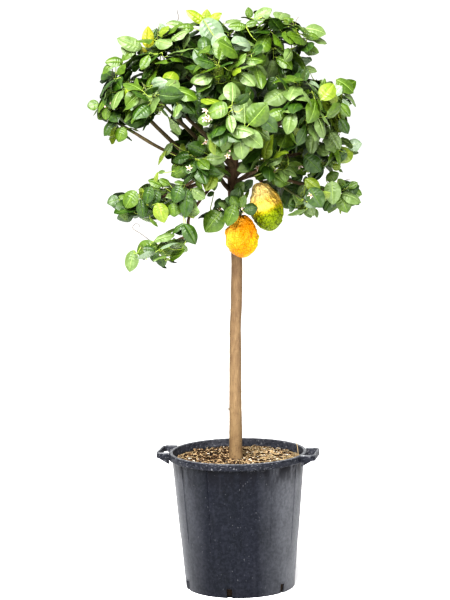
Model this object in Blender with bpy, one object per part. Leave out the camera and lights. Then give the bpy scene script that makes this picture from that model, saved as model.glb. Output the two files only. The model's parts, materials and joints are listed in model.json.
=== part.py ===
"""A citron tree grown as a standard, in a ribbed nursery pot with two loop handles.

Metres, +Z up. The origin is the middle of the pot's flat underside, and -Y is the side that faces
the viewer. Azimuths are in degrees from +X towards +Y, so the front is at -90.
"""

import math
import random
from collections import namedtuple

import bmesh
import bpy
import numpy as np
from mathutils import Vector
from mathutils.bvhtree import BVHTree

# Gap between neighbouring solids.
CLEAR = 0.0003

# Corners of a joined solid that lie closer than this count as one.
WELD = 0.0000001

# Pot.
RIM_RADIUS = 0.190
RIM_TOP = 0.377
RIM_HEIGHT = 0.019
LIP_WIDTH = 0.011
WALL_TOP_RADIUS = 0.180
FOOT_RADIUS = 0.150
WALL = 0.0035
FLOOR = 0.006
EDGE = 0.003
POT_SIDES = 48

# Mouldings on the pot: upright ribs on the wall, drain slots at the foot.
RIB_COUNT = 12
RIB_AZIMUTH = -89.0
RIB_WIDTH = 0.0026
RIB_PROUD = 0.0011
RIB_FOOT = 0.130
SLOT_COUNT = 6
SLOT_AZIMUTH = -101.5
SLOT_WIDTH = 0.015
SLOT_HEIGHT = 0.026

# Handles: a flat bar held off the rim by two arms.
HANDLE_AZIMUTHS = {"handle_right": -10.0, "handle_left": 170.0}
HANDLE_REACH = 0.220
HANDLE_LENGTH = 0.112
HANDLE_TOP = 0.379
HANDLE_HEIGHT = 0.017
HANDLE_ROOT_HEIGHT = 0.031
HANDLE_BAR = 0.0055
HANDLE_ARM = 0.0060
HANDLE_CORNER = 0.012
HANDLE_ROOT_DEPTH = 0.004
HANDLE_WEB = 0.0036

# Soil.
SOIL_TOP = 0.356

# Trunk: the height, sideways drift and radius where its line or its taper changes.
TRUNK_Y = 0.004
TRUNK_FOOT = SOIL_TOP + CLEAR
TRUNK_TIP = 1.395
TRUNK_DRIFT = ((TRUNK_FOOT, -0.006), (0.49, -0.005), (0.70, -0.002), (0.80, 0.003), (0.90, 0.006),
               (1.12, -0.002), (1.24, 0.004), (TRUNK_TIP, 0.009))
TRUNK_RADIUS = ((TRUNK_FOOT, 0.0185), (0.39, 0.0168), (0.60, 0.0149), (0.90, 0.0138), (1.12, 0.0135),
                (1.17, 0.0140), (1.24, 0.0085), (TRUNK_TIP, 0.0042))
TRUNK_SIDES = 10
TRUNK_STEP = 0.065

# Boughs: each sets out square to its parent and stops short of the middle of its mass, by a share
# of the mass's least half size or of its own last stretch. Rays find where its end meets the parent.
SEAT_RAYS = 48
SEAT_FROM = 0.1
BOUGH_TIP_RADIUS = 0.0042
BOUGH_SIDES = 6
BOUGH_STEPS = 5
BOUGH_SET_OUT = 0.016
BOUGH_STOP_SHORT = 0.62
BOUGH_STOP_MOST = 0.80

# Stems: each carries one mass, and runs past its middle by a share of its least half size.
STEM_TIP_RADIUS = 0.0032
STEM_SIDES = 5
STEM_STEPS = 3
STEM_SET_OUT = 0.012
STEM_PAST_MIDDLE = 0.30
STEM_OUTWARD = 0.8
STEM_ONWARD = 0.5

# Twigs: they leave the outer part of the stem, spread round the way out of the crown, and bow.
TWIG_RADIUS = 0.0022
TWIG_TIP_RADIUS = 0.0017
TWIG_STEPS = 2
TWIG_SIDES = 3
TWIG_FIRST_PLACE = 0.45
TWIG_PLACES = 0.50
TWIG_SPREAD = 1.35
TWIG_STRAY = 0.08
TWIG_SHORTEST = 0.018
TWIG_SHORT_OF_EDGE = 0.058
TWIG_LONGER_UPWARDS = 0.6
TWIG_BOW_OUT = 0.008
TWIG_BOW_DOWN = 0.004
TWIG_FULL_BOW_LENGTH = 0.045
LIMB_MARGIN = 0.004

# Leaves: broad ovals that arch down to the tip, with edges that fold down from the midrib.
LEAF_LENGTHS = (0.074, 0.096)
LEAF_WIDTH = 0.70
LEAF_THICKNESS = 0.012
LEAF_DROOPS = (0.10, 0.34)
LEAF_FOLDS = (0.04, 0.16)
LEAF_FORESHORTENING = 0.35
LEAF_NODES = 7
LEAF_ATTEMPTS = 8
LEAF_TURN = math.radians(137.5)
LEAF_SINK = 0.0008
LEAF_OUTLINE = ((0.10, 0.05), (0.38, 0.98), (0.76, 0.84))

# A mass of this mean half size has leaves of the named lengths, a larger one up to so much larger.
FULL_LEAF_REACH = 0.085
LARGEST_LEAF_SCALE = 1.25

# Where leaves stand on a twig, from its end down, and how their ways and faces are mixed.
LEAF_FIRST_SPOT = 0.97
LEAF_SPOTS = 0.84
LEAF_ALONG_TWIG = 0.45
LEAF_SIDEWAYS = (0.6, 1.0)
LEAF_OUTWARD = 0.25
LEAF_DOWNWARD = (0.0, 0.35)
FACE_UPWARD = 0.80
FACE_OUTWARD = 0.60
FACE_STRAY = 0.15
LEAF_STRAY = 0.10
STRAY_PER_ATTEMPT = 0.06
SHORTER_PER_ATTEMPT = 0.025

# Fruit and blossom.
CITRON_RADIUS = 0.0425
CITRON_HALF_HEIGHT = 0.055
CITRON_SIDES = 12
CITRON_RINGS = 7
CITRON_BUMP = 0.03
CITRON_LOW_BULGE = 0.10
CITRON_SWELL = 1.08
CITRON_STALK_SINK = 0.004
BLOSSOM_RADIUS = 0.015
BLOSSOM_CUP = 0.0096
BLOSSOM_RIM = 0.012
BLOSSOM_PETALS = 5
BLOSSOM_UPWARD = 0.4

# The middle of the crown, that twigs and leaves grow away from.
HEART = Vector((0.0, 0.0, 1.24))

# Masses of foliage: name, middle, half sizes, what carries it, how many twigs and leaves it has.
Mass = namedtuple("Mass", "name middle reach carrier at twigs leaves seed")
MASSES = [
    Mass("crown_top_middle", (-0.032, 0.020, 1.484), (0.122, 0.120, 0.103), "trunk", TRUNK_TIP, 5, 12, 0),
    Mass("crown_top_left", (-0.172, -0.040, 1.456), (0.135, 0.125, 0.108), "bough_top_left", 1, 6, 14, 12),
    Mass("crown_top_right", (0.125, -0.020, 1.493), (0.135, 0.125, 0.106),
         "bough_top_right", 1, 5, 13, 21),
    Mass("crown_top_front", (-0.010, -0.170, 1.430), (0.125, 0.115, 0.115),
         "bough_top_front", 1, 5, 12, 22),
    Mass("crown_top_back", (0.020, 0.175, 1.430), (0.125, 0.115, 0.115), "bough_top_back", 1, 5, 12, 13),
    Mass("shoulder_left", (-0.285, -0.020, 1.362), (0.115, 0.115, 0.108),
         "bough_shoulder_left", 1, 5, 12, 24),
    Mass("shoulder_front_left", (-0.185, -0.200, 1.345), (0.115, 0.110, 0.100),
         "bough_front_left", 1, 5, 12, 7),
    Mass("shoulder_front", (0.010, -0.265, 1.300), (0.115, 0.100, 0.110), "bough_front", 1, 5, 12, 6),
    Mass("shoulder_front_right", (0.180, -0.200, 1.330), (0.115, 0.110, 0.110),
         "bough_front_right", 1, 5, 12, 7),
    Mass("shoulder_right", (0.240, -0.010, 1.332), (0.108, 0.115, 0.115), "bough_right", 1, 5, 13, 6),
    Mass("shoulder_back_right", (0.190, 0.205, 1.330), (0.115, 0.110, 0.110),
         "bough_back_right", 1, 5, 12, 25),
    Mass("shoulder_back", (0.000, 0.275, 1.310), (0.115, 0.100, 0.110), "bough_back", 1, 5, 12, 18),
    Mass("shoulder_back_left", (-0.185, 0.200, 1.340), (0.115, 0.110, 0.110),
         "bough_back_left", 1, 5, 12, 23),
    Mass("low_left", (-0.302, -0.031, 1.280), (0.078, 0.084, 0.070), "bough_low_left", 1, 4, 8, 17),
    Mass("low_front_left", (-0.085, -0.130, 1.185), (0.090, 0.090, 0.085), "trunk", 1.135, 5, 12, 1),
    Mass("low_front_right", (0.095, -0.150, 1.195), (0.098, 0.092, 0.090), "trunk", 1.190, 5, 12, 11),
    Mass("low_right", (0.235, -0.050, 1.205), (0.116, 0.105, 0.092), "bough_low_right", 1, 5, 12, 27),
    Mass("low_back_right", (0.145, 0.185, 1.190), (0.105, 0.100, 0.095), "trunk", 1.165, 5, 12, 26),
    Mass("low_back_left", (-0.105, 0.190, 1.190), (0.090, 0.098, 0.090), "trunk", 1.150, 5, 12, 0),
    Mass("skirt_left", (-0.252, -0.080, 1.068), (0.100, 0.088, 0.064), "bough_skirt_left", 1, 5, 11, 13),
    Mass("skirt_left_inner", (-0.130, -0.110, 1.078), (0.064, 0.078, 0.062),
         "bough_skirt_left", 0.72, 4, 8, 15),
    Mass("hanging_left", (-0.190, -0.125, 0.950), (0.125, 0.085, 0.070),
         "bough_hanging_left", 1, 5, 11, 21),
    Mass("skirt_middle", (-0.062, -0.065, 1.030), (0.058, 0.060, 0.068), "trunk", 1.072, 4, 6, 12),
    Mass("citron_front", (0.018, -0.075, 1.052), (0.074, 0.070, 0.062), "trunk", 1.085, 4, 8, 22),
    Mass("citron_right", (0.105, -0.040, 1.118), (0.078, 0.080, 0.060), "bough_citron", 1, 4, 6, 18),
    Mass("skirt_right_inner", (0.190, -0.120, 1.072), (0.082, 0.078, 0.062),
         "bough_skirt_right", 0.62, 4, 9, 26),
    Mass("skirt_right", (0.278, -0.060, 1.082), (0.082, 0.082, 0.064), "bough_skirt_right", 1, 5, 11, 9),
    Mass("skirt_back_right", (0.180, 0.190, 1.070), (0.095, 0.088, 0.065),
         "bough_skirt_back_right", 1, 5, 10, 14),
    Mass("skirt_back_left", (-0.180, 0.180, 1.065), (0.098, 0.088, 0.065),
         "bough_skirt_back_left", 1, 5, 10, 14),
]

# Main boughs: name, parent, where it leaves (height on the trunk, or share of a bough's length),
# radius at its root, the points that it passes, and the mass it ends in.
Bough = namedtuple("Bough", "name parent at radius bends mass")
BOUGHS = [
    Bough("bough_top_left", "trunk", 1.290, 0.0058, [(-0.070, -0.015, 1.355)], "crown_top_left"),
    Bough("bough_top_right", "trunk", 1.305, 0.0058, [(0.060, -0.004, 1.375)], "crown_top_right"),
    Bough("bough_top_front", "trunk", 1.265, 0.0060, [(0.000, -0.070, 1.320)], "crown_top_front"),
    Bough("bough_top_back", "trunk", 1.280, 0.0060, [(0.010, 0.075, 1.330)], "crown_top_back"),
    Bough("bough_shoulder_left", "trunk", 1.150, 0.0080,
          [(-0.065, -0.012, 1.163), (-0.120, -0.020, 1.190), (-0.215, -0.026, 1.283)], "shoulder_left"),
    Bough("bough_front_left", "trunk", 1.175, 0.0095, [(-0.080, -0.080, 1.228)], "shoulder_front_left"),
    Bough("bough_front", "trunk", 1.205, 0.0080, [(0.004, -0.110, 1.230)], "shoulder_front"),
    Bough("bough_front_right", "trunk", 1.228, 0.0075, [(0.085, -0.090, 1.270)], "shoulder_front_right"),
    Bough("bough_right", "trunk", 1.215, 0.0085, [(0.110, -0.002, 1.262)], "shoulder_right"),
    Bough("bough_back_right", "trunk", 1.200, 0.0080, [(0.080, 0.085, 1.245)], "shoulder_back_right"),
    Bough("bough_back", "trunk", 1.220, 0.0075, [(0.002, 0.115, 1.252)], "shoulder_back"),
    Bough("bough_back_left", "trunk", 1.190, 0.0085, [(-0.080, 0.085, 1.245)], "shoulder_back_left"),
    Bough("bough_low_left", "bough_shoulder_left", 0.50, 0.0045, [(-0.188, -0.050, 1.212)], "low_left"),
    Bough("bough_low_right", "trunk", 1.160, 0.0065, [(0.110, -0.012, 1.178)], "low_right"),
    Bough("bough_skirt_left", "trunk", 1.110, 0.0060,
          [(-0.044, -0.018, 1.131), (-0.100, -0.045, 1.115), (-0.155, -0.070, 1.098)], "skirt_left"),
    Bough("bough_hanging_left", "bough_skirt_left", 0.47, 0.0036,
          [(-0.118, -0.084, 1.035), (-0.122, -0.098, 0.990)], "hanging_left"),
    Bough("bough_citron", "trunk", 1.146, 0.0058,
          [(0.050, -0.020, 1.142), (0.078, -0.028, 1.118)], "citron_right"),
    Bough("bough_skirt_right", "trunk", 1.122, 0.0056,
          [(0.070, -0.050, 1.150), (0.150, -0.078, 1.125)], "skirt_right"),
    Bough("bough_skirt_back_right", "trunk", 1.120, 0.0058, [(0.080, 0.080, 1.128)], "skirt_back_right"),
    Bough("bough_skirt_back_left", "trunk", 1.130, 0.0058, [(-0.080, 0.080, 1.128)], "skirt_back_left"),
]

# Citrons: the mass each hangs in, its middle and the way its top leans.
CITRONS = {
    "citron_front": ((0.018, -0.066, 0.972), (-0.05, 0.0, 1.0)),
    "citron_right": ((0.090, -0.030, 1.040), (-0.22, 0.0, 1.0)),
}

# Blossom that shows from a step away: how many open flowers each of these masses carries.
BLOSSOMS = {"low_front_left": 2, "shoulder_front_left": 1, "low_front_right": 2, "low_right": 1,
            "skirt_right_inner": 1, "citron_right": 1, "skirt_back_left": 1, "low_back_right": 1}


def material(name, colour, roughness):
    """A Principled BSDF material."""
    made = bpy.data.materials.new(name)
    made.use_nodes = True
    shader = made.node_tree.nodes["Principled BSDF"]
    shader.inputs["Base Color"].default_value = (*colour, 1.0)
    shader.inputs["Roughness"].default_value = roughness
    shader.inputs["Metallic"].default_value = 0.0
    return made


def add_object(name, verts, faces):
    """A mesh object with its faces turned outwards."""
    mesh = bpy.data.meshes.new(name)
    mesh.from_pydata([tuple(v) for v in verts], [], faces)
    work = bmesh.new()
    work.from_mesh(mesh)
    bmesh.ops.recalc_face_normals(work, faces=work.faces)
    work.to_mesh(mesh)
    work.free()
    made = bpy.data.objects.new(name, mesh)
    bpy.context.scene.collection.objects.link(made)
    return made


def finish(made, surface, smooth_degrees=None):
    """Gives an object its material and, where it is round, smooth shading."""
    made.data.materials.clear()
    made.data.materials.append(surface)
    if smooth_degrees is not None:
        made.data.shade_smooth()
        made.data.set_sharp_from_angle(angle=math.radians(smooth_degrees))
    return made


def largest_body(mesh):
    """Keeps the largest body of faces joined by edges, so loose scraps and sealed hollows go."""
    work = bmesh.new()
    work.from_mesh(mesh)
    left = set(work.faces)
    bodies = []
    while left:
        body = {left.pop()}
        border = list(body)
        while border:
            for edge in border.pop().edges:
                for other in edge.link_faces:
                    if other not in body:
                        body.add(other)
                        border.append(other)
        left -= body
        bodies.append(body)
    bodies.sort(key=len)
    scraps = [face for body in bodies[:-1] for face in body]
    bmesh.ops.delete(work, geom=scraps, context="FACES")
    work.to_mesh(mesh)
    work.free()


def is_closed(mesh):
    """True where every edge has just two faces, also once corners that meet are made one."""
    work = bmesh.new()
    work.from_mesh(mesh)
    closed = all(edge.is_manifold for edge in work.edges)
    bmesh.ops.remove_doubles(work, verts=work.verts, dist=WELD)
    closed = closed and all(edge.is_manifold for edge in work.edges)
    work.free()
    return closed


def combine(name, pieces, operation="UNION"):
    """The first piece with all the others joined to it, or cut from it, in one Boolean.

    The exact solver comes first. Returns None where neither solver gives a closed mesh."""
    base = pieces[0]
    group = bpy.data.collections.new(name + "_pieces")
    bpy.context.scene.collection.children.link(group)
    for piece in pieces[1:]:
        bpy.context.scene.collection.objects.unlink(piece)
        group.objects.link(piece)
    modifier = base.modifiers.new("combine", "BOOLEAN")
    modifier.operation = operation
    modifier.operand_type = "COLLECTION"
    modifier.collection = group
    made = None
    for solver in ("EXACT", "MANIFOLD"):
        modifier.solver = solver
        graph = bpy.context.evaluated_depsgraph_get()
        mesh = bpy.data.meshes.new_from_object(base.evaluated_get(graph))
        largest_body(mesh)
        if is_closed(mesh):
            made = bpy.data.objects.new(name, mesh)
            break
    for piece in pieces:
        bpy.data.objects.remove(piece)
    bpy.data.collections.remove(group)
    if made:
        made.name = name
        mesh.name = name
        bpy.context.scene.collection.objects.link(made)
    return made


def around(radius, azimuth, height):
    """The point at this radius, azimuth in degrees and height."""
    turn = math.radians(azimuth)
    return Vector((radius * math.cos(turn), radius * math.sin(turn), height))


def turned(name, profile, sides):
    """A solid turned about Z. The profile runs from the axis and back to it."""
    verts = []
    rings = []
    for radius, height in profile:
        if radius == 0:
            rings.append([len(verts)] * sides)
            verts.append((0.0, 0.0, height))
            continue
        rings.append([len(verts) + side for side in range(sides)])
        verts += [around(radius, 360 * side / sides, height) for side in range(sides)]
    faces = []
    for lower, upper in zip(rings, rings[1:]):
        for side in range(sides):
            following = (side + 1) % sides
            corners = [lower[side], lower[following], upper[following], upper[side]]
            faces.append(list(dict.fromkeys(corners)))
    return add_object(name, verts, faces)


def prism(name, outline, thickness, place):
    """A flat outline given a thickness. place maps (along, out, up) to a point."""
    count = len(outline)
    verts = [place(*point, side * thickness / 2) for side in (-1, 1) for point in outline]
    faces = [list(range(count)), list(range(count, 2 * count))]
    for corner in range(count):
        following = (corner + 1) % count
        faces.append([corner, following, following + count, corner + count])
    return add_object(name, verts, faces)


def wall_radius(height):
    """The outer radius of the pot's tapering wall."""
    return FOOT_RADIUS + (WALL_TOP_RADIUS - FOOT_RADIUS) * height / (RIM_TOP - RIM_HEIGHT)


def make_pot(surface):
    """The pot: one turned wall and floor with a deep rim, ribs added, drain slots cut."""
    wall_top = RIM_TOP - RIM_HEIGHT
    inner_lip = RIM_RADIUS - LIP_WIDTH
    profile = [
        (0, 0),
        (FOOT_RADIUS - EDGE, 0),
        (wall_radius(EDGE), EDGE),
        (wall_radius(wall_top), wall_top),
        (RIM_RADIUS - EDGE / 2, wall_top),
        (RIM_RADIUS, wall_top + EDGE / 2),
        (RIM_RADIUS, RIM_TOP - EDGE),
        (RIM_RADIUS - EDGE, RIM_TOP),
        (inner_lip + EDGE / 2, RIM_TOP),
        (inner_lip, RIM_TOP - EDGE / 2),
        (wall_radius(wall_top) - WALL, wall_top - EDGE),
        (wall_radius(FLOOR) - WALL, FLOOR),
        (0, FLOOR),
    ]
    pot = turned("pot", profile, POT_SIDES)
    ribs = [make_rib(RIB_AZIMUTH + 360 * i / RIB_COUNT) for i in range(RIB_COUNT)]
    pot = combine("pot", [pot] + ribs)
    slots = [make_slot(SLOT_AZIMUTH + 360 * i / SLOT_COUNT) for i in range(SLOT_COUNT)]
    pot = combine("pot", [pot] + slots, "DIFFERENCE")
    return finish(pot, surface, 40)


def make_rib(azimuth):
    """An upright rib, thin and low, that runs up the wall into the rim."""
    top = RIM_TOP - RIM_HEIGHT + EDGE / 2
    side = around(1, azimuth + 90, 0)
    outline = []
    for height, proud in ((RIB_FOOT, 0), (RIB_FOOT + 0.02, RIB_PROUD), (top, RIB_PROUD)):
        outline.append((wall_radius(height) + proud, height))
    outline += [(wall_radius(top) - WALL / 2, top), (wall_radius(RIB_FOOT) - WALL / 2, RIB_FOOT)]
    return prism("rib", outline, RIB_WIDTH, lambda r, z, across: around(r, azimuth, z) + side * across)


def make_slot(azimuth):
    """A cutter for one drain slot, open at the foot."""
    side = around(1, azimuth + 90, 0)
    inner = FOOT_RADIUS - 3 * WALL
    outer = FOOT_RADIUS + 3 * WALL
    outline = [(inner, -EDGE), (outer, -EDGE), (outer, SLOT_HEIGHT), (inner, SLOT_HEIGHT)]
    return prism("slot", outline, SLOT_WIDTH, lambda r, z, across: around(r, azimuth, z) + side * across)


def make_handle(name, azimuth, surface):
    """A loop handle: a bar with clipped corners and two arms whose roots are deeper than the bar."""
    out = around(1, azimuth, 0)
    side = around(1, azimuth + 90, 0)
    half = HANDLE_LENGTH / 2
    bar_inside = HANDLE_REACH - HANDLE_BAR
    root = [math.sqrt((RIM_RADIUS + CLEAR) ** 2 - along ** 2) for along in (half, half - HANDLE_ARM)]
    right = [
        (root[1], half - HANDLE_ARM),
        (root[0], half),
        (HANDLE_REACH - HANDLE_CORNER, half),
        (HANDLE_REACH, half - HANDLE_CORNER),
    ]
    inside = [
        (bar_inside, half - HANDLE_ARM - HANDLE_CORNER / 2),
        (bar_inside - HANDLE_CORNER / 2, half - HANDLE_ARM),
    ]
    outline = right + [(r, -t) for r, t in reversed(right)]
    outline += [(r, -t) for r, t in reversed(inside)] + inside
    middle = HANDLE_TOP - HANDLE_HEIGHT / 2
    loop = prism(name, outline, HANDLE_HEIGHT,
                 lambda r, t, z: out * r + side * t + Vector((0, 0, middle + z)))
    pieces = [loop]
    for end in (-1, 1):
        centre = end * (half - HANDLE_ARM / 2)
        low = HANDLE_TOP - HANDLE_ROOT_HEIGHT
        web = [
            (root[1], HANDLE_TOP - HANDLE_HEIGHT / 2),
            (root[1], low),
            (root[1] + HANDLE_ROOT_DEPTH, low),
            (bar_inside, HANDLE_TOP - HANDLE_HEIGHT + EDGE),
            (bar_inside, HANDLE_TOP - HANDLE_HEIGHT / 2),
        ]
        pieces.append(prism(name + "_web", web, HANDLE_WEB,
                            lambda r, z, t: out * r + side * (centre + t) + Vector((0, 0, z))))
    return finish(combine(name, pieces), surface)


def make_soil(surface):
    """The soil that fills the pot to a little under the rim."""
    def inside(height):
        return wall_radius(height) - WALL - CLEAR

    profile = [
        (0, FLOOR + CLEAR),
        (inside(FLOOR) - CLEAR, FLOOR + CLEAR),
        (inside(SOIL_TOP - EDGE) - CLEAR, SOIL_TOP - EDGE),
        (inside(SOIL_TOP) - 2 * EDGE, SOIL_TOP),
        (0, SOIL_TOP),
    ]
    return finish(turned("soil", profile, POT_SIDES), surface)


def knots(table, height):
    """The value at a height, read smoothly between the named ones."""
    for (low, first), (high, second) in zip(table, table[1:]):
        if height <= high:
            share = max(0.0, (height - low) / (high - low))
            return first + (second - first) * share * share * (3 - 2 * share)
    return table[-1][1]


def trunk_axis(height):
    """The middle of the trunk at a height."""
    return Vector((knots(TRUNK_DRIFT, height), TRUNK_Y, height))


def trunk_limb():
    """The trunk's centre line and radii, from the ground to the tip of its leader."""
    steps = math.ceil((TRUNK_TIP - TRUNK_FOOT) / TRUNK_STEP)
    heights = [TRUNK_FOOT + (TRUNK_TIP - TRUNK_FOOT) * i / steps for i in range(steps + 1)]
    heights[1:1] = [0.5 * (heights[0] + heights[1])]
    return [trunk_axis(z) for z in heights], [knots(TRUNK_RADIUS, z) for z in heights]


def smooth_path(stations, count):
    """Points along a smooth curve through the stations."""
    padded = [2 * stations[0] - stations[1]] + stations + [2 * stations[-1] - stations[-2]]
    path = []
    for step in range(count + 1):
        place = step * (len(stations) - 1) / count
        index = min(int(place), len(stations) - 2)
        t = place - index
        a, b, c, d = padded[index:index + 4]
        path.append(0.5 * (2 * b + (c - a) * t + (2 * a - 5 * b + 4 * c - d) * t ** 2
                           + (3 * b - a - 3 * c + d) * t ** 3))
    return path


def taper(first, last, count):
    """Radii that shrink evenly along a limb."""
    return [first + (last - first) * i / count for i in range(count + 1)]


def tube_shape(path, radii, sides, first_way=None):
    """Corners and faces of a closed tube with flat ends. first_way is the way its first end faces along."""
    ways = []
    for index in range(len(path)):
        before = path[max(index - 1, 0)]
        after = path[min(index + 1, len(path) - 1)]
        ways.append((after - before).normalized())
    if first_way is not None:
        ways[0] = first_way.normalized()
    across = ways[0].orthogonal().normalized()
    verts = []
    for point, way, radius in zip(path, ways, radii):
        across = (across - way * across.dot(way)).normalized()
        other = way.cross(across)
        for side in range(sides):
            turn = 2 * math.pi * side / sides
            verts.append(point + radius * (math.cos(turn) * across + math.sin(turn) * other))
    faces = [list(range(sides)), list(range(len(verts) - sides, len(verts)))]
    for ring in range(len(path) - 1):
        for side in range(sides):
            following = (side + 1) % sides
            low, high = ring * sides, (ring + 1) * sides
            faces.append([low + side, low + following, high + following, high + side])
    return verts, faces


def leave_limb(parent, at, towards, on_trunk, radius):
    """Where a limb of this radius leaves its parent's side, CLEAR of it, and the way it sets out."""
    path, radii, first_way = parent
    if on_trunk:
        index = max(i for i in range(len(path) - 1) if path[i].z <= at)
        share = (at - path[index].z) / (path[index + 1].z - path[index].z)
    else:
        index = min(int(at * (len(path) - 1)), len(path) - 2)
        share = at * (len(path) - 1) - index
    run = path[index + 1] - path[index]
    way = run.normalized()
    middle = path[index] + run * share
    out = towards - middle
    out = (out - way * out.dot(way)).normalized()
    other = out.cross(way)
    sides = TRUNK_SIDES if on_trunk else BOUGH_SIDES
    skin = BVHTree.FromPolygons(*tube_shape(path, radii, sides, first_way))
    seat = 0.0
    for ray in range(SEAT_RAYS):
        turn = 4 * math.pi * ray / SEAT_RAYS
        ring = radius if 2 * ray < SEAT_RAYS else 0.5 * radius
        rim = middle + ring * (math.cos(turn) * way + math.sin(turn) * other)
        hit = skin.ray_cast(rim + out * SEAT_FROM, -out)[0]
        if hit:
            seat = max(seat, (hit - middle).dot(out))
    return middle + out * (seat + CLEAR), out


def plan_limbs():
    """Every limb as (path, radii, first way): the trunk, the boughs and the masses' own stems."""
    limbs = {"trunk": (*trunk_limb(), Vector((0, 0, 1)))}
    by_name = {mass.name: mass for mass in MASSES}
    for bough in BOUGHS:
        bends = [Vector(bend) for bend in bough.bends]
        parent = limbs[bough.parent]
        start, way = leave_limb(parent, bough.at, bends[0], bough.parent == "trunk", bough.radius)
        mass = by_name[bough.mass]
        middle = Vector(mass.middle)
        back = bends[-1] - middle
        short = min(BOUGH_STOP_SHORT * min(mass.reach), BOUGH_STOP_MOST * back.length)
        end = middle + back.normalized() * short
        stations = [start, start + way * BOUGH_SET_OUT, *bends, end]
        thinning = taper(bough.radius, BOUGH_TIP_RADIUS, BOUGH_STEPS)
        limbs[bough.name] = (smooth_path(stations, BOUGH_STEPS), thinning, way)
    for mass in MASSES:
        limbs["stem_" + mass.name] = plan_stem(mass, limbs)
    return limbs


def plan_stem(mass, limbs):
    """A mass's stem: it meets what carries the mass, crosses the middle and thins towards the outside."""
    path, radii, _ = limbs[mass.carrier]
    middle = Vector(mass.middle)
    from_tip = mass.carrier != "trunk" and mass.at == 1 or mass.at == TRUNK_TIP
    if from_tip:
        way = (path[-1] - path[-2]).normalized()
        start = path[-1] + way * CLEAR
        radius = radii[-1]
    else:
        radius = BOUGH_TIP_RADIUS
        start, way = leave_limb(limbs[mass.carrier], mass.at, middle, mass.carrier == "trunk", radius)
    onward = outward(mass) * STEM_OUTWARD + (middle - start).normalized() * STEM_ONWARD
    end = middle + onward.normalized() * STEM_PAST_MIDDLE * min(mass.reach)
    stations = [start, start + way * STEM_SET_OUT, middle, end]
    return smooth_path(stations, STEM_STEPS), taper(radius, STEM_TIP_RADIUS, STEM_STEPS), way


def outward(mass):
    """The way out of the crown at a mass: sideways, and up only where the mass is high."""
    way = Vector(mass.middle) - HEART
    way.z = max(way.z, -0.3 * way.length)
    return way.normalized()


class Space:
    """The room a mass may fill: its own reach, up to the planes that part it from its neighbours."""

    def __init__(self, mass):
        self.middle = np.array(mass.middle)
        self.reach = np.array(mass.reach)
        size = np.mean(self.reach)
        normals = []
        offsets = []
        for other in MASSES:
            if other.name == mass.name:
                continue
            gap = np.array(other.middle) - self.middle
            distance = np.linalg.norm(gap)
            normals.append(gap / distance)
            edge = (distance ** 2 + size ** 2 - np.mean(other.reach) ** 2) / (2 * distance)
            offsets.append(edge - CLEAR)
        self.normals = np.array(normals)
        self.offsets = np.array(offsets)

    def holds(self, points):
        """True where every point is inside."""
        local = np.asarray(points) - self.middle
        return bool((local @ self.normals.T <= self.offsets).all()
                    and (((local / self.reach) ** 2).sum(axis=1) <= 1).all())

    def distance(self, way):
        """How far the space runs from its middle along a way."""
        way = np.asarray(way)
        closing = np.maximum(self.normals @ way, 1e-6)
        return min((self.offsets / closing).min(), 1 / np.linalg.norm(way / self.reach))


class Limbs:
    """The limbs as straight pieces, to keep twigs and leaves off them."""

    def __init__(self, limbs):
        self.names = []
        starts, ends, radii = [], [], []
        for name, (path, limb_radii, _) in limbs.items():
            for index in range(len(path) - 1):
                self.names.append(name)
                starts.append(path[index])
                ends.append(path[index + 1])
                radii.append(max(limb_radii[index:index + 2]))
        self.names = np.array(self.names)
        self.starts = np.array(starts)
        self.runs = np.array(ends) - self.starts
        self.radii = np.array(radii)

    def touch(self, points, margin, own):
        """True where a point comes within margin of a limb that isn't the mass's own stem."""
        points = np.asarray(points)[:, None, :]
        keep = self.names != own
        starts, runs = self.starts[keep], self.runs[keep]
        share = ((points - starts) * runs).sum(axis=2) / (runs ** 2).sum(axis=1)
        nearest = starts + np.clip(share, 0, 1)[..., None] * runs
        distance = np.linalg.norm(points - nearest, axis=2)
        return bool((distance < self.radii[keep] + margin).any())


Leaf = namedtuple("Leaf", "root along face length droop fold")


def leaf_point(leaf, u, v):
    """A point of a leaf's surface, at share u of its length and v of its half width."""
    across = leaf.face.cross(leaf.along)
    half_width = 0.5 * LEAF_WIDTH * leaf.length
    sag = leaf.length * (leaf.droop * u * u + leaf.fold * abs(v) * math.sin(math.pi * min(u, 0.96)))
    run = leaf.length * (u - LEAF_FORESHORTENING * leaf.droop ** 2 * u ** 3)
    return leaf.root + leaf.along * run + across * (half_width * v) - leaf.face * sag


def leaf_samples(leaf):
    """Points over a leaf, to see whether it stays in its space and off the limbs."""
    points = [leaf_point(leaf, 1, 0)]
    for u in (0.16, 0.30, 0.45, 0.60, 0.75, 0.88):
        wide = 1.0 if 0.25 < u < 0.80 else 0.72
        points += [leaf_point(leaf, u, share * wide) for share in (-1, -0.5, 0, 0.5, 1)]
    return points


def leaf_shape(leaf):
    """Corners and faces of a leaf: a thin roof over an oval outline that narrows to its stalk."""
    raise_by = leaf.face * LEAF_THICKNESS * leaf.length
    verts = [leaf_point(leaf, 0, 0)]
    for u, v in LEAF_OUTLINE:
        verts += [leaf_point(leaf, u, v), leaf_point(leaf, u, 0) + raise_by, leaf_point(leaf, u, -v)]
    tip = len(verts)
    verts.append(leaf_point(leaf, 1, 0))
    faces = [[0, 1, 2], [0, 2, 3], [0, 3, 1]]
    for right in range(1, tip - 3, 3):
        ridge, left = right + 1, right + 2
        faces += [[right, right + 3, ridge + 3], [right, ridge + 3, ridge]]
        faces += [[left, ridge + 3, left + 3], [left, ridge, ridge + 3]]
        faces += [[right, left, left + 3], [right, left + 3, right + 3]]
    faces += [[tip - 3, tip, tip - 2], [tip - 2, tip, tip - 1], [tip - 1, tip, tip - 3]]
    return verts, faces


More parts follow.
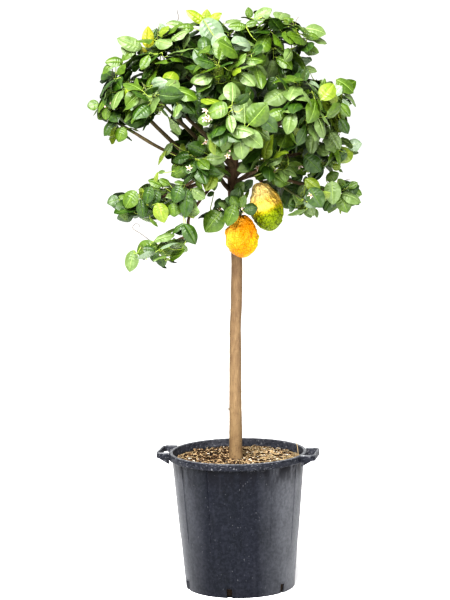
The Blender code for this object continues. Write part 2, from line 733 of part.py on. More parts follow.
def aim_leaf(draw, root, tangent, side, out, size, attempt):
    """A leaf that leaves its twig sideways, turns its face up and outwards and hangs at the tip.

    Each further attempt strays more from the rule and is a little shorter, to find room."""
    up = Vector((0, 0, 1))
    stray = LEAF_STRAY + STRAY_PER_ATTEMPT * attempt
    along = tangent * LEAF_ALONG_TWIG + side * draw.uniform(*LEAF_SIDEWAYS)
    along += out * LEAF_OUTWARD - up * draw.uniform(*LEAF_DOWNWARD)
    along = (along + Vector([draw.gauss(0, stray) for _ in range(3)])).normalized()
    face = up * FACE_UPWARD + out * FACE_OUTWARD
    face += Vector([draw.gauss(0, FACE_STRAY + stray) for _ in range(3)])
    face = (face - along * face.dot(along)).normalized()
    length = size * draw.uniform(*LEAF_LENGTHS) * (1 - SHORTER_PER_ATTEMPT * attempt)
    droop = draw.uniform(*LEAF_DROOPS)
    return Leaf(root - along * LEAF_SINK, along, face, length, droop, draw.uniform(*LEAF_FOLDS))


def twig_ways(draw, out, count):
    """Directions spread evenly round the way out of the crown, a few of them sideways and back."""
    across = out.orthogonal().normalized()
    other = out.cross(across)
    start = draw.uniform(0, 2 * math.pi)
    ways = []
    for index in range(count):
        rise = 1 - TWIG_SPREAD * (index + 0.3) / count
        flat = math.sqrt(max(0.0, 1 - rise * rise))
        turn = start + index * LEAF_TURN
        way = out * rise + flat * (math.cos(turn) * across + math.sin(turn) * other)
        ways.append((way + Vector([draw.gauss(0, TWIG_STRAY) for _ in range(3)])).normalized())
    return ways


def grow(mass, limbs, obstacles):
    """The seeded rule: twigs branch from the mass's stem, leaves leave each twig by turns.

    A twig or leaf is skipped where it would leave the space, touch a limb or cross another leaf."""
    draw = random.Random(f"{mass.name} {mass.seed}")
    space = Space(mass)
    own = "stem_" + mass.name
    out = outward(mass)
    size = min(LARGEST_LEAF_SCALE, float(np.mean(mass.reach)) / FULL_LEAF_REACH)
    stem, stem_radii, _ = limbs[own]
    planned = [plan_twig(mass, stem, way, index, space, out)
               for index, way in enumerate(twig_ways(draw, out, mass.twigs))]
    twigs = [twig for twig in planned if fits(twig, space, obstacles, own)]
    wood = [BVHTree.FromPolygons(*tube_shape(stem, stem_radii, STEM_SIDES))]
    wood += [BVHTree.FromPolygons(*twig_shape(twig)) for twig in twigs]
    leaves = []
    blades = []
    for number in range(LEAF_NODES):
        for index, twig in enumerate(twigs):
            others = wood[:index + 1] + wood[index + 2:]
            for attempt in range(LEAF_ATTEMPTS):
                root, tangent, side = leaf_node(draw, twig, number)
                leaf = aim_leaf(draw, root, tangent, side, out, size, attempt)
                blade = BVHTree.FromPolygons(*leaf_shape(leaf))
                crossing = any(blade.overlap(other) for other in blades + others)
                if crossing or len(leaves) >= mass.leaves:
                    continue
                if fits(leaf_samples(leaf), space, obstacles, own):
                    leaves.append(leaf)
                    blades.append(blade)
                    break
    return twigs, leaves


def plan_twig(mass, stem, way, index, space, out):
    """A twig from the stem towards the outside of the mass, short of it by most of a leaf."""
    place = (TWIG_FIRST_PLACE + TWIG_PLACES * (1 - index / mass.twigs)) * (len(stem) - 1)
    low = min(int(place), len(stem) - 2)
    start = stem[low].lerp(stem[low + 1], place - low)
    short = TWIG_SHORT_OF_EDGE * (1 - TWIG_LONGER_UPWARDS * max(0.0, way.z))
    end = Vector(mass.middle) + way * max(TWIG_SHORTEST, space.distance(way) - short)
    bow = out * TWIG_BOW_OUT - Vector((0, 0, TWIG_BOW_DOWN))
    bow *= min(1.0, (end - start).length / TWIG_FULL_BOW_LENGTH)
    return smooth_path([start, start.lerp(end, 0.5) + bow, end], TWIG_STEPS)


def twig_shape(path):
    """Corners and faces of a twig."""
    return tube_shape(path, taper(TWIG_RADIUS, TWIG_TIP_RADIUS, TWIG_STEPS), TWIG_SIDES)


def leaf_node(draw, twig, number):
    """Where a leaf leaves its twig: the end first, then by turns down the twig."""
    spot = (LEAF_FIRST_SPOT - LEAF_SPOTS * number / LEAF_NODES) * (len(twig) - 1)
    low = min(int(spot), len(twig) - 2)
    tangent = (twig[low + 1] - twig[low]).normalized()
    across = tangent.orthogonal().normalized()
    turn = number * LEAF_TURN + draw.uniform(0, math.pi)
    side = math.cos(turn) * across + math.sin(turn) * tangent.cross(across)
    if number == 0:
        side = (side * 0.4 + tangent).normalized()
    return twig[low].lerp(twig[low + 1], spot - low), tangent, side


def fits(points, space, obstacles, own):
    """True where points stay in the mass's space and off the other limbs and the citrons."""
    if any(near_citron(point, hung, LIMB_MARGIN) for point in points for hung in CITRONS.values()):
        return False
    return space.holds(points[1:]) and not obstacles.touch(points, LIMB_MARGIN, own)


def near_citron(point, hung, margin):
    """True where a point is inside a citron's rounded outline, with a margin."""
    middle, lean = Vector(hung[0]), Vector(hung[1]).normalized()
    local = point - middle
    up = local.dot(lean)
    flat = (local - lean * up).length
    wide = flat / (CITRON_RADIUS * CITRON_SWELL + margin)
    high = up / (CITRON_HALF_HEIGHT * CITRON_SWELL + margin)
    return wide ** 2 + high ** 2 < 1


def citron_shape(hung):
    """A knobbly egg shape, widest below its middle, hanging from its stalk."""
    middle, lean = Vector(hung[0]), Vector(hung[1]).normalized()
    across = lean.orthogonal().normalized()
    other = lean.cross(across)
    verts = [middle + lean * CITRON_HALF_HEIGHT, middle - lean * CITRON_HALF_HEIGHT]
    for ring in range(CITRON_RINGS):
        angle = math.pi * (ring + 1) / (CITRON_RINGS + 1)
        wide = CITRON_RADIUS * math.sin(angle) * (1 - CITRON_LOW_BULGE * math.cos(angle))
        for side in range(CITRON_SIDES):
            turn = 2 * math.pi * (side + 0.5 * (ring % 2)) / CITRON_SIDES
            bump = 1 + CITRON_BUMP * math.cos(3 * turn + 2 * ring)
            spoke = math.cos(turn) * across + math.sin(turn) * other
            verts.append(middle + lean * (CITRON_HALF_HEIGHT * math.cos(angle)) + spoke * wide * bump)
    faces = []
    last = len(verts) - CITRON_SIDES
    for side in range(CITRON_SIDES):
        following = (side + 1) % CITRON_SIDES
        faces.append([0, 2 + side, 2 + following])
        faces.append([1, last + following, last + side])
        for ring in range(CITRON_RINGS - 1):
            low = 2 + ring * CITRON_SIDES
            high = low + CITRON_SIDES
            faces.append([low + side, high + side, high + following, low + following])
    return verts, faces


def citron_stalk(stem, hung):
    """The path of the short stalk from a mass's stem down into the top of its citron."""
    root = stem[-2].lerp(stem[-1], 0.6)
    top = Vector(hung[0]) + Vector(hung[1]).normalized() * (CITRON_HALF_HEIGHT - CITRON_STALK_SINK)
    bow = Vector((0, 0, TWIG_BOW_DOWN))
    return smooth_path([root, root.lerp(top, 0.5) + bow, top], TWIG_STEPS)


def blossom_shape(root, way):
    """An open flower: a shallow five-cornered cup, its back sunk in the twig."""
    across = way.orthogonal().normalized()
    other = way.cross(across)
    verts = [root - way * LEAF_SINK, root + way * BLOSSOM_CUP]
    for corner in range(BLOSSOM_PETALS):
        turn = 2 * math.pi * corner / BLOSSOM_PETALS
        spoke = math.cos(turn) * across + math.sin(turn) * other
        verts.append(root + way * BLOSSOM_RIM + spoke * BLOSSOM_RADIUS)
    faces = []
    for corner in range(BLOSSOM_PETALS):
        following = 2 + (corner + 1) % BLOSSOM_PETALS
        faces += [[0, following, 2 + corner], [1, 2 + corner, following]]
    return verts, faces


def make_mass(mass, limbs, obstacles, surface):
    """One mass: its stem, twigs, leaves, and any citron and blossom, joined into one solid.

    A leaf that spoils the join is left out, the last one first."""
    path, radii, way = limbs["stem_" + mass.name]
    shapes = [tube_shape(path, radii, STEM_SIDES, way)]
    twigs, leaves = grow(mass, limbs, obstacles)
    shapes += [twig_shape(twig) for twig in twigs]
    if mass.name in CITRONS:
        hung = CITRONS[mass.name]
        shapes += [citron_shape(hung), twig_shape(citron_stalk(path, hung))]
    facing = (outward(mass) + Vector((0, 0, BLOSSOM_UPWARD))).normalized()
    for twig in twigs[:BLOSSOMS.get(mass.name, 0)]:
        shapes.append(blossom_shape(twig[-1].lerp(twig[-2], 0.4), facing))
    for kept in range(len(leaves), -1, -1):
        blades = [leaf_shape(leaf) for leaf in leaves[:kept]]
        solid = combine(mass.name, [add_object("piece", *shape) for shape in shapes + blades])
        if solid:
            return finish(solid, surface)
    raise ValueError(mass.name + " can't be joined into one solid")


def build():
    """The whole plant in its pot."""
    for old in list(bpy.data.objects):
        bpy.data.objects.remove(old)
    plastic = material("pot_plastic", (0.030, 0.033, 0.042), 0.45)
    earth = material("soil", (0.115, 0.062, 0.030), 0.95)
    bark = material("bark", (0.400, 0.245, 0.130), 0.85)
    young_bark = material("bough_bark", (0.180, 0.105, 0.060), 0.80)
    foliage = material("foliage", (0.070, 0.210, 0.030), 0.40)

    make_pot(plastic)
    for name, azimuth in HANDLE_AZIMUTHS.items():
        make_handle(name, azimuth, plastic)
    make_soil(earth)

    limbs = plan_limbs()
    path, radii, way = limbs["trunk"]
    finish(add_object("trunk", *tube_shape(path, radii, TRUNK_SIDES, way)), bark, 60)
    for bough in BOUGHS:
        path, radii, way = limbs[bough.name]
        finish(add_object(bough.name, *tube_shape(path, radii, BOUGH_SIDES, way)), young_bark, 60)
    obstacles = Limbs(limbs)
    for mass in MASSES:
        make_mass(mass, limbs, obstacles, foliage)


build()
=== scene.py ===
"""The looks of a citron tree grown as a standard in a ribbed nursery pot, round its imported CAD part.

Metres, +Z up, in the part's own frame: the origin is the middle of the pot's flat underside, and -Y
is the side that faces the camera. The masses of foliage grow again by the part's seeded rule, from
the same stems and twigs, and go on to finer shoots and life-size leaves inside the same room.
"""

import json
import math
import random
from collections import namedtuple

import bmesh
import bpy
import numpy as np
from mathutils import Matrix, Vector, noise
from mathutils.bvhtree import BVHTree

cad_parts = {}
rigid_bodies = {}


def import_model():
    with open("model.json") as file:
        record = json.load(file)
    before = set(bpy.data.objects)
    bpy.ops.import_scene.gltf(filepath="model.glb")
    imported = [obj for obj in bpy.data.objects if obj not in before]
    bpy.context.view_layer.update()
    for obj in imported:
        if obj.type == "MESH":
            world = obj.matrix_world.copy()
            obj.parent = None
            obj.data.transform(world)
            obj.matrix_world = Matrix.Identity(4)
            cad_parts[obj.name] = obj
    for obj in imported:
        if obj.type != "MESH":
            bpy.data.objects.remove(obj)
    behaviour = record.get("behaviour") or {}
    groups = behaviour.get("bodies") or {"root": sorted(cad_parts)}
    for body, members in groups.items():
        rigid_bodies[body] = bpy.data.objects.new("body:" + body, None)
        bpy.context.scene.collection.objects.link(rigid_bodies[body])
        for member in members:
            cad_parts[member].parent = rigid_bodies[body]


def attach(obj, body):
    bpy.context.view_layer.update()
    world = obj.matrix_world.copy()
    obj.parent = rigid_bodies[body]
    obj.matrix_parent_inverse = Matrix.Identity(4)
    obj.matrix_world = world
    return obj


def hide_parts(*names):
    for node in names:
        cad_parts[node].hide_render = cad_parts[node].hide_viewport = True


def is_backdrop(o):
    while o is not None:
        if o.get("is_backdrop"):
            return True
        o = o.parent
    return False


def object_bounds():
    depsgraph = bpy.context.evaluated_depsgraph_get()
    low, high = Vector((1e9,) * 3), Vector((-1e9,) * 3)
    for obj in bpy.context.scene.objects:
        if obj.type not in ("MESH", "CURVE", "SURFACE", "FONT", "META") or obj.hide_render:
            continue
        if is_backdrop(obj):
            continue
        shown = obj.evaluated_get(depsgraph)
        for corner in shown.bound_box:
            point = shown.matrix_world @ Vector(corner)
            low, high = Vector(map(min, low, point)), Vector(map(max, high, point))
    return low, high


UP = Vector((0, 0, 1))

# Camera: where it stands, what it looks at, its lens on a 36 mm sensor, its roll and its clip.
CAMERA_AT = Vector((0.0, -6.5, 1.6767))
CAMERA_LOOKS_AT = Vector((-0.0283, 0.0, 0.7951))
CAMERA_LENS = 144.6
CAMERA_ROLL = -0.0181
CAMERA_CLIP = 200.0
SENSOR = 36.0
PHOTO_SIZE = (450, 600)
FOCAL_PIXELS = CAMERA_LENS / SENSOR * PHOTO_SIZE[1]
CAMERA_TURN = ((CAMERA_LOOKS_AT - CAMERA_AT).to_track_quat("-Z", "Y").to_matrix()
               @ Matrix.Rotation(CAMERA_ROLL, 3, "Z"))

# Studio: half the floor's side, the white sky's strength, and each light's place, side and power.
STUDIO_HALF = 30.0
STUDIO_SKY = 0.76
STUDIO_LIGHTS = {"key": ((-1.1, -2.6, 3.9), 2.8, 650.0), "fill": ((2.6, -3.4, 1.3), 1.4, 110.0)}

# Pot.
RIM_RADIUS = 0.190
RIM_TOP = 0.377
RIM_HEIGHT = 0.019
RIM_ROUND = 0.0055
RIM_LOW_ROUND = 0.0022
LIP_WIDTH = 0.011
WALL_TOP = RIM_TOP - RIM_HEIGHT
WALL_TOP_RADIUS = 0.180
WALL_ROWS = 60
FOOT_RADIUS = 0.150
FOOT_RING = 0.012
WALL = 0.0035
FLOOR = 0.006
EDGE = 0.003
POT_SIDES = 192
POT_CREASE = 32.0

# Mouldings on the pot.
RIB_COUNT = 12
RIB_AZIMUTH = -89.0
RIB_WIDTH = 0.0026
RIB_PROUD = 0.0011
RIB_FOOT = 0.130
RIB_RUN_OUT = 0.02
RIB_ROUND = 0.0004
SLOT_COUNT = 6
SLOT_AZIMUTH = -101.5
SLOT_WIDTH = 0.015
SLOT_HEIGHT = 0.026
SLOT_FRAME = 0.0022
SLOT_FRAME_PROUD = 0.0009
SLOT_FRAME_ROUND = 0.0003

# Handles.
HANDLE_AZIMUTHS = {"handle_right": -10.0, "handle_left": 170.0}
HANDLE_REACH = 0.220
HANDLE_LENGTH = 0.112
HANDLE_TOP = 0.379
HANDLE_HEIGHT = 0.017
HANDLE_ROOT_HEIGHT = 0.031
HANDLE_BAR = 0.0055
HANDLE_ARM = 0.0060
HANDLE_CORNER = 0.012
HANDLE_ROUND = 0.0014
HANDLE_SEAT = 0.0008
HANDLE_CREASE = 40.0
WEB_WIDTH = 0.6
WEB_FOOT = 0.004
WEB_ROUND = 0.0006
GRIP_RADIUS = 0.0009
GRIP_SPACING = 0.27
GRIP_END = 0.002

# Soil: its top, its gap to the pot, and the depth and waves a metre of its crumbs.
SOIL_TOP = 0.356
SOIL_GAP = 0.0004
SOIL_SINK = 0.0015
SOIL_HEIGHTS = (FLOOR + SOIL_GAP, 0.10, 0.20, SOIL_TOP - 0.008)
SOIL_RINGS = 56
SOIL_SIDES = 160
SOIL_CRUMBS = ((0.0045, 38), (0.0028, 150))

# Chips on the soil. Width and thickness are shares of the length. Of a draw from 0 to 1, a chip is dark,
# brown or tan up to the shares named, and else grit. Those on the right, past a place along X and Y,
# are paler.
CHIP_COUNT = 5400
CHIP_TO_WALL = 0.006
CHIP_SMALL = (0.0022, 0.0078)
CHIP_LARGE = (0.008, 0.015)
CHIP_SMALL_SHARE = 0.92
CHIP_WIDTHS = (0.25, 0.6)
CHIP_THICKNESSES = (0.12, 0.35)
CHIP_THICKEST = 0.0035
CHIP_TILTS = (0.35, 0.28)
CHIP_SINK = 0.001
CHIP_LIFT = 0.0022
CHIP_OUTLINE = ((-0.5, -0.32), (0.0, -0.5), (0.5, -0.28), (0.46, 0.34), (0.05, 0.5), (-0.44, 0.3))
CHIP_LIDS = ((5, 4, 3, 2), (5, 2, 1, 0), (6, 7, 8, 9), (6, 9, 10, 11))
CHIP_DARK = 0.44
CHIP_BROWN = 0.70
CHIP_TAN = 0.96
CHIP_PALER = 0.12
CHIP_PALER_FROM = (0.03, -0.05)
CHIP_NEAREST = 0.012
CHIP_CORNER_VARIES = (0.7, 1.1)
CHIP_DEPTH_VARIES = (0.6, 1.1)

# Straws on the soil, and one stick that stands up from it.
STRAW_COUNT = 150
STRAW_TO_WALL = 0.004
STRAW_MIDDLE_TO_WALL = 0.012
STRAW_NEAREST = 0.02
STRAWS_ON_RIGHT = (-30, 80)
STRAW_LIE = 0.0025
STRAW_LIFTS = (0.0005, 0.004)
STRAW_SIDES = 4
STRAW_STEPS = 5
STRAW_HALVES = (0.006, 0.021)
STRAW_RADII = (0.0008, 0.0005)
STICK_RADII = (0.0010, 0.0007)
STICK_STEPS = 6
STICK = ((0.166, 0.010, SOIL_TOP - 0.004), (0.164, 0.018, 0.378), (0.160, 0.026, 0.398))

# Trunk: its sideways drift and its radius, each with the height where it changes.
TRUNK_Y = 0.004
TRUNK_FOOT = SOIL_TOP - 0.004
TRUNK_TIP = 1.395
TRUNK_DRIFT = ((TRUNK_FOOT, -0.006), (0.49, -0.005), (0.70, -0.002), (0.80, 0.003), (0.90, 0.006),
               (1.12, -0.002), (1.24, 0.004), (TRUNK_TIP, 0.009))
TRUNK_RADIUS = ((TRUNK_FOOT, 0.0198), (0.39, 0.0182), (0.60, 0.0160), (0.90, 0.0148), (1.12, 0.0138),
                (1.17, 0.0140), (1.24, 0.0085), (TRUNK_TIP, 0.0042))
TRUNK_SIDES = 72
TRUNK_STEP = 0.0026

# Relief of the bark: depth, waves a radius round the limb, waves a metre along it, and a shift.
TRUNK_GRAIN = ((0.0009, 1.6, 14, 0), (0.0005, 6.5, 34, 40), (0.00025, 15, 90, 90))
BOUGH_GRAIN = (0.0006, 1.5, 45, 7.0)

# Leaf scars on the trunk, and the stub of a cut shoot.
SCAR_COUNT = 13
SCAR_LOWEST = 0.43
SCAR_SPACING = 0.056
SCAR_FIRST_TURN = 0.9
SCAR_HEIGHT = 0.0035
SCAR_WIDTH = 0.33
SCAR_DEPTH = 0.0011
STUB_HEIGHT = 0.490
STUB_WAY = Vector((-0.95, -0.25, 0.2)).normalized()
STUB_INSIDE = 0.7
STUB_PROUD = (0.002, 0.0045)
STUB_RADII = (0.0040, 0.0030, 0.0020)
STUB_SIDES = 12

# Limbs, as in the part: boughs, the masses' stems, and twigs, with finer shoots added. The way out
# of the crown falls by OUTWARD_LOWEST at most, and a mass past BEHIND along Y grows more shoots.
BOUGH_TIP_RADIUS = 0.0042
BOUGH_SIDES = 20
BOUGH_STEPS = 60
BOUGH_SET_OUT = 0.009
BOUGH_CROTCH = 0.016
BOUGH_STOP_SHORT = 0.62
BOUGH_STOP_MOST = 0.80
LIMB_ROOT_INSIDE = 0.3
COLLAR = 0.35
COLLAR_LENGTH = 0.022
STEM_TIP_RADIUS = 0.0032
STEM_SIDES = 12
STEM_STEPS = 18
STEM_SET_OUT = 0.012
STEM_PAST_MIDDLE = 0.30
STEM_OUTWARD = 0.8
STEM_ONWARD = 0.5
OUTWARD_LOWEST = -0.3
TWIG_RADIUS = 0.0022
TWIG_TIP_RADIUS = 0.0014
TWIG_SIDES = 8
TWIG_STEPS = 8
TWIG_FIRST_PLACE = 0.45
TWIG_PLACES = 0.50
TWIG_SPREAD = 1.35
TWIG_STRAY = 0.08
TWIG_SHORTEST = 0.018
TWIG_SHORT_OF_EDGE = 0.058
TWIG_LONGER_UPWARDS = 0.6
TWIG_BOW_OUT = 0.008
TWIG_BOW_DOWN = 0.004
TWIG_FULL_BOW_LENGTH = 0.045
FIRST_WAY = 0.3
BEHIND = 0.1
SHOOTS_PER_TWIG = 6.0
SHOOTS_BEHIND = 9.0
SHOOT_SPREAD = 1.80
SHOOT_RADIUS = 0.0013
SHOOT_TIP_RADIUS = 0.0009
SHOOT_SIDES = 6
SHOOT_STEPS = 6
SHOOT_SHORT_OF_EDGE = 0.040
SHOOT_DEPTHS = (0.50, 1.0)
SHOOT_SHORTEST = 0.016
SHOOT_RISE = 0.006
SHOOTS_OUTWARDS = 0.6
SHOOT_TO_SEEN_RISE = 0.003
LIMB_MARGIN = 0.003
LIMB_STRIDE = 8
TRUNK_STRIDE = 32

# Leaves.
LEAF_LENGTHS = (0.052, 0.082)
LEAF_WIDTHS = (0.31, 0.42)
LEAF_DROOPS = (0.10, 0.58)
LEAF_FOLDS = (0.05, 0.75)
LEAF_TWISTS = (-0.60, 0.60)
LEAF_BULGE = 0.045
LEAF_PUCKER = 0.0108
LEAF_CREASE = 20.0
LEAF_RIPPLE = 0.018
LEAF_EDGE_WAVES = 2.3
LEAF_FORESHORTENING = 0.35
LEAF_BLUNTNESS = 0.80
LEAF_BLUNTNESS_VARIES = 0.25
LEAF_FULLNESS = 0.56
LEAF_FULLNESS_TO_TIP = 0.19
LEAF_NARROWEST = 0.0016
LEAF_ROWS = 14
LEAF_COLUMNS = (0.0, 0.050, 0.38, 0.74, 1.0)
LEAF_VEIN_SLANT = 0.10
LEAF_TURN = math.radians(137.5)
LEAF_TURN_STRAY = 0.5
END_LEAF_SIDEWAYS = 0.4
LEAF_OUTLINE_AT = (0.0, 0.22, 0.5, 0.8, 1.0)
NEAR_LEAF = 1.3
SEEN_TWIST = 0.1
SEEN_RIPPLE_STEP = 0.37
LEAF_ATTEMPTS = 5
LEAF_FIRST_SPOT = 0.98
LEAF_SPOTS = 0.78
LEAVES_PER_SHOOT = 6
LEAVES_PER_TWIG = 6
LEAF_ALONG_TWIG = 0.45
LEAF_SIDEWAYS = (0.6, 1.0)
LEAF_OUTWARD = 0.25
LEAF_DOWNWARD = (0.05, 0.55)
FACE_UPWARD = 0.70
FACE_OUTWARD = 0.85
FACE_STRAY = 0.32
LEAF_STRAY = 0.20
STRAY_PER_ATTEMPT = 0.08
SHORTER_PER_ATTEMPT = 0.03
PETIOLE_LENGTH = 0.17
PETIOLE_RADIUS = 0.0009
PETIOLE_SWELL = 1.15
PETIOLE_BOW = 0.0012
PETIOLE_IN_TWIG = 0.001
PETIOLE_IN_LEAF = 0.003
PETIOLE_STEPS = 3
PETIOLE_SIDES = 5
ROOM_OVERLAP = 0.010

# Citrons: their size, the narrower neck and its ring, the nipple, and the ridges, lumps and swells
# of the rind.
CITRON_RADIUS = 0.0425
CITRON_SWELL = 1.08
CITRON_LOW_BULGE = 0.10
CITRON_CLEAR_VIEW = 0.95
CITRON_RINGS = 110
CITRON_SIDES = 160
CITRON_POLE = 0.004
CITRON_WIDER = 1.02
CITRON_THINNEST = 0.0006
CITRON_BLUNT = 0.46
CITRON_BLUNTER_TOP = 0.20
NECK_FROM = 0.20
NECK_TO = 0.80
NECK_NARROWER = 0.26
NECK_RING = 0.16
NECK_DROP = 0.0040
NIPPLE_RING = 0.05
NIPPLE_DROP = 0.0030
RIDGE_COUNT = 10
RIDGE_SWAY = 1.98
RIDGE_DEPTH = 0.0017
RIDGE_SWAY_WAVES = 1.4
RIDGE_LOW_DOWN = 0.40
RIDGE_IN_NECK = 0.6
KNOBS_FROM_POLE = 1.3
LUMP_DEPTH = 0.0044
LUMPS_ROUND, LUMPS_UP = 5.2, 3.6
SWELL_DEPTH = 0.0016
SWELL_WAVES = 1.7
RIND_LONGER = 1.3
RIND_SHIFT = 9
CITRON_STALK_SINK = 0.004
CITRON_STALK_FROM = 0.87
CITRON_STALK_RADII = (0.0034, 0.0030)

# The middle of the crown, that twigs and leaves grow away from.
HEART = Vector((0.0, 0.0, 1.24))

# Masses of foliage: name, middle, half sizes, what carries it and where (height on the trunk, or
# share of a bough's length), its count of twigs and its seed.
Mass = namedtuple("Mass", "name middle reach carrier at twigs seed")
MASSES = [
    Mass("crown_top_middle", (-0.032, 0.020, 1.484), (0.122, 0.120, 0.103),
         "trunk", TRUNK_TIP, 5, 0),
    Mass("crown_top_left", (-0.172, -0.040, 1.456), (0.135, 0.125, 0.108),
         "bough_top_left", 1, 6, 12),
    Mass("crown_top_right", (0.125, -0.020, 1.493), (0.135, 0.125, 0.106),
         "bough_top_right", 1, 5, 21),
    Mass("crown_top_front", (-0.010, -0.170, 1.430), (0.125, 0.115, 0.115),
         "bough_top_front", 1, 5, 22),
    Mass("crown_top_back", (0.020, 0.175, 1.430), (0.125, 0.115, 0.115), "bough_top_back", 1, 5, 13),
    Mass("shoulder_left", (-0.285, -0.020, 1.362), (0.115, 0.115, 0.108),
         "bough_shoulder_left", 1, 5, 24),
    Mass("shoulder_front_left", (-0.185, -0.200, 1.345), (0.115, 0.110, 0.100),
         "bough_front_left", 1, 5, 7),
    Mass("shoulder_front", (0.010, -0.265, 1.300), (0.115, 0.100, 0.110), "bough_front", 1, 5, 6),
    Mass("shoulder_front_right", (0.180, -0.200, 1.330), (0.115, 0.110, 0.110),
         "bough_front_right", 1, 5, 7),
    Mass("shoulder_right", (0.240, -0.010, 1.332), (0.108, 0.115, 0.115), "bough_right", 1, 5, 6),
    Mass("shoulder_back_right", (0.190, 0.205, 1.330), (0.115, 0.110, 0.110),
         "bough_back_right", 1, 5, 25),
    Mass("shoulder_back", (0.000, 0.275, 1.310), (0.115, 0.100, 0.110), "bough_back", 1, 5, 18),
    Mass("shoulder_back_left", (-0.185, 0.200, 1.340), (0.115, 0.110, 0.110),
         "bough_back_left", 1, 5, 23),
    Mass("low_left", (-0.302, -0.031, 1.280), (0.078, 0.084, 0.070), "bough_low_left", 1, 4, 17),
    Mass("low_front_left", (-0.085, -0.130, 1.185), (0.090, 0.090, 0.085), "trunk", 1.135, 5, 1),
    Mass("low_front_right", (0.095, -0.150, 1.195), (0.098, 0.092, 0.090), "trunk", 1.190, 5, 11),
    Mass("low_right", (0.235, -0.050, 1.205), (0.116, 0.105, 0.092), "bough_low_right", 1, 5, 27),
    Mass("low_back_right", (0.145, 0.185, 1.190), (0.105, 0.100, 0.095), "trunk", 1.165, 5, 26),
    Mass("low_back_left", (-0.105, 0.190, 1.190), (0.090, 0.098, 0.090), "trunk", 1.150, 5, 0),
    Mass("skirt_left", (-0.252, -0.080, 1.068), (0.100, 0.088, 0.064), "bough_skirt_left", 1, 5, 13),
    Mass("skirt_left_inner", (-0.130, -0.110, 1.078), (0.064, 0.078, 0.062),
         "bough_skirt_left", 0.72, 4, 15),
    Mass("hanging_left", (-0.190, -0.125, 0.950), (0.125, 0.085, 0.070),
         "bough_hanging_left", 1, 5, 21),
    Mass("skirt_middle", (-0.062, -0.065, 1.030), (0.058, 0.060, 0.068), "trunk", 1.072, 4, 12),
    Mass("citron_front", (0.018, -0.075, 1.052), (0.074, 0.070, 0.062), "trunk", 1.085, 4, 22),
    Mass("citron_right", (0.105, -0.040, 1.118), (0.078, 0.080, 0.060), "bough_citron", 1, 4, 18),
    Mass("skirt_right_inner", (0.190, -0.120, 1.072), (0.082, 0.078, 0.062),
         "bough_skirt_right", 0.62, 4, 26),
    Mass("skirt_right", (0.278, -0.060, 1.082), (0.082, 0.082, 0.064), "bough_skirt_right", 1, 5, 9),
    Mass("skirt_back_right", (0.180, 0.190, 1.070), (0.095, 0.088, 0.065),
         "bough_skirt_back_right", 1, 5, 14),
    Mass("skirt_back_left", (-0.180, 0.180, 1.065), (0.098, 0.088, 0.065),
         "bough_skirt_back_left", 1, 5, 14),
]

# Main boughs: name, parent, where it leaves (height on the trunk, or share of a bough's length),
# radius at its root, the points that it passes, and the mass it ends in.
Bough = namedtuple("Bough", "name parent at radius bends mass")
BOUGHS = [
    Bough("bough_top_left", "trunk", 1.290, 0.0058, [(-0.070, -0.015, 1.355)], "crown_top_left"),
    Bough("bough_top_right", "trunk", 1.305, 0.0058, [(0.060, -0.004, 1.375)], "crown_top_right"),
    Bough("bough_top_front", "trunk", 1.265, 0.0060, [(0.000, -0.070, 1.320)], "crown_top_front"),
    Bough("bough_top_back", "trunk", 1.280, 0.0060, [(0.010, 0.075, 1.330)], "crown_top_back"),
    Bough("bough_shoulder_left", "trunk", 1.150, 0.0080,
          [(-0.065, -0.012, 1.163), (-0.120, -0.020, 1.190), (-0.215, -0.026, 1.283)], "shoulder_left"),
    Bough("bough_front_left", "trunk", 1.175, 0.0095, [(-0.080, -0.080, 1.228)], "shoulder_front_left"),
    Bough("bough_front", "trunk", 1.205, 0.0080, [(0.004, -0.110, 1.230)], "shoulder_front"),
    Bough("bough_front_right", "trunk", 1.228, 0.0075, [(0.085, -0.090, 1.270)], "shoulder_front_right"),
    Bough("bough_right", "trunk", 1.215, 0.0085, [(0.110, -0.002, 1.262)], "shoulder_right"),
    Bough("bough_back_right", "trunk", 1.200, 0.0080, [(0.080, 0.085, 1.245)], "shoulder_back_right"),
    Bough("bough_back", "trunk", 1.220, 0.0075, [(0.002, 0.115, 1.252)], "shoulder_back"),
    Bough("bough_back_left", "trunk", 1.190, 0.0085, [(-0.080, 0.085, 1.245)], "shoulder_back_left"),
    Bough("bough_low_left", "bough_shoulder_left", 0.50, 0.0045, [(-0.188, -0.050, 1.212)], "low_left"),
    Bough("bough_low_right", "trunk", 1.160, 0.0065, [(0.110, -0.012, 1.178)], "low_right"),
    Bough("bough_skirt_left", "trunk", 1.110, 0.0060,
          [(-0.044, -0.018, 1.131), (-0.100, -0.045, 1.115), (-0.155, -0.070, 1.098)], "skirt_left"),
    Bough("bough_hanging_left", "bough_skirt_left", 0.47, 0.0036,
          [(-0.118, -0.084, 1.035), (-0.122, -0.098, 0.990)], "hanging_left"),
    Bough("bough_citron", "trunk", 1.146, 0.0058,
          [(0.050, -0.020, 1.142), (0.078, -0.028, 1.118)], "citron_right"),
    Bough("bough_skirt_right", "trunk", 1.122, 0.0056,
          [(0.070, -0.050, 1.150), (0.150, -0.078, 1.125)], "skirt_right"),
    Bough("bough_skirt_back_right", "trunk", 1.120, 0.0058, [(0.080, 0.080, 1.128)], "skirt_back_right"),
    Bough("bough_skirt_back_left", "trunk", 1.130, 0.0058, [(-0.080, 0.080, 1.128)], "skirt_back_left"),
]

# Citrons: the mass each hangs in, its middle, the way its top leans, half its height, and how far its
# neck bows sideways.
Citron = namedtuple("Citron", "middle lean half_height bow")
CITRONS = {
    "citron_front": Citron((0.0202, -0.066, 0.978), (-0.05, 0.0, 1.0), 0.0567, 0.003),
    "citron_right": Citron((0.087, -0.030, 1.053), (-0.22, 0.0, 1.0), 0.0660, -0.005),
}

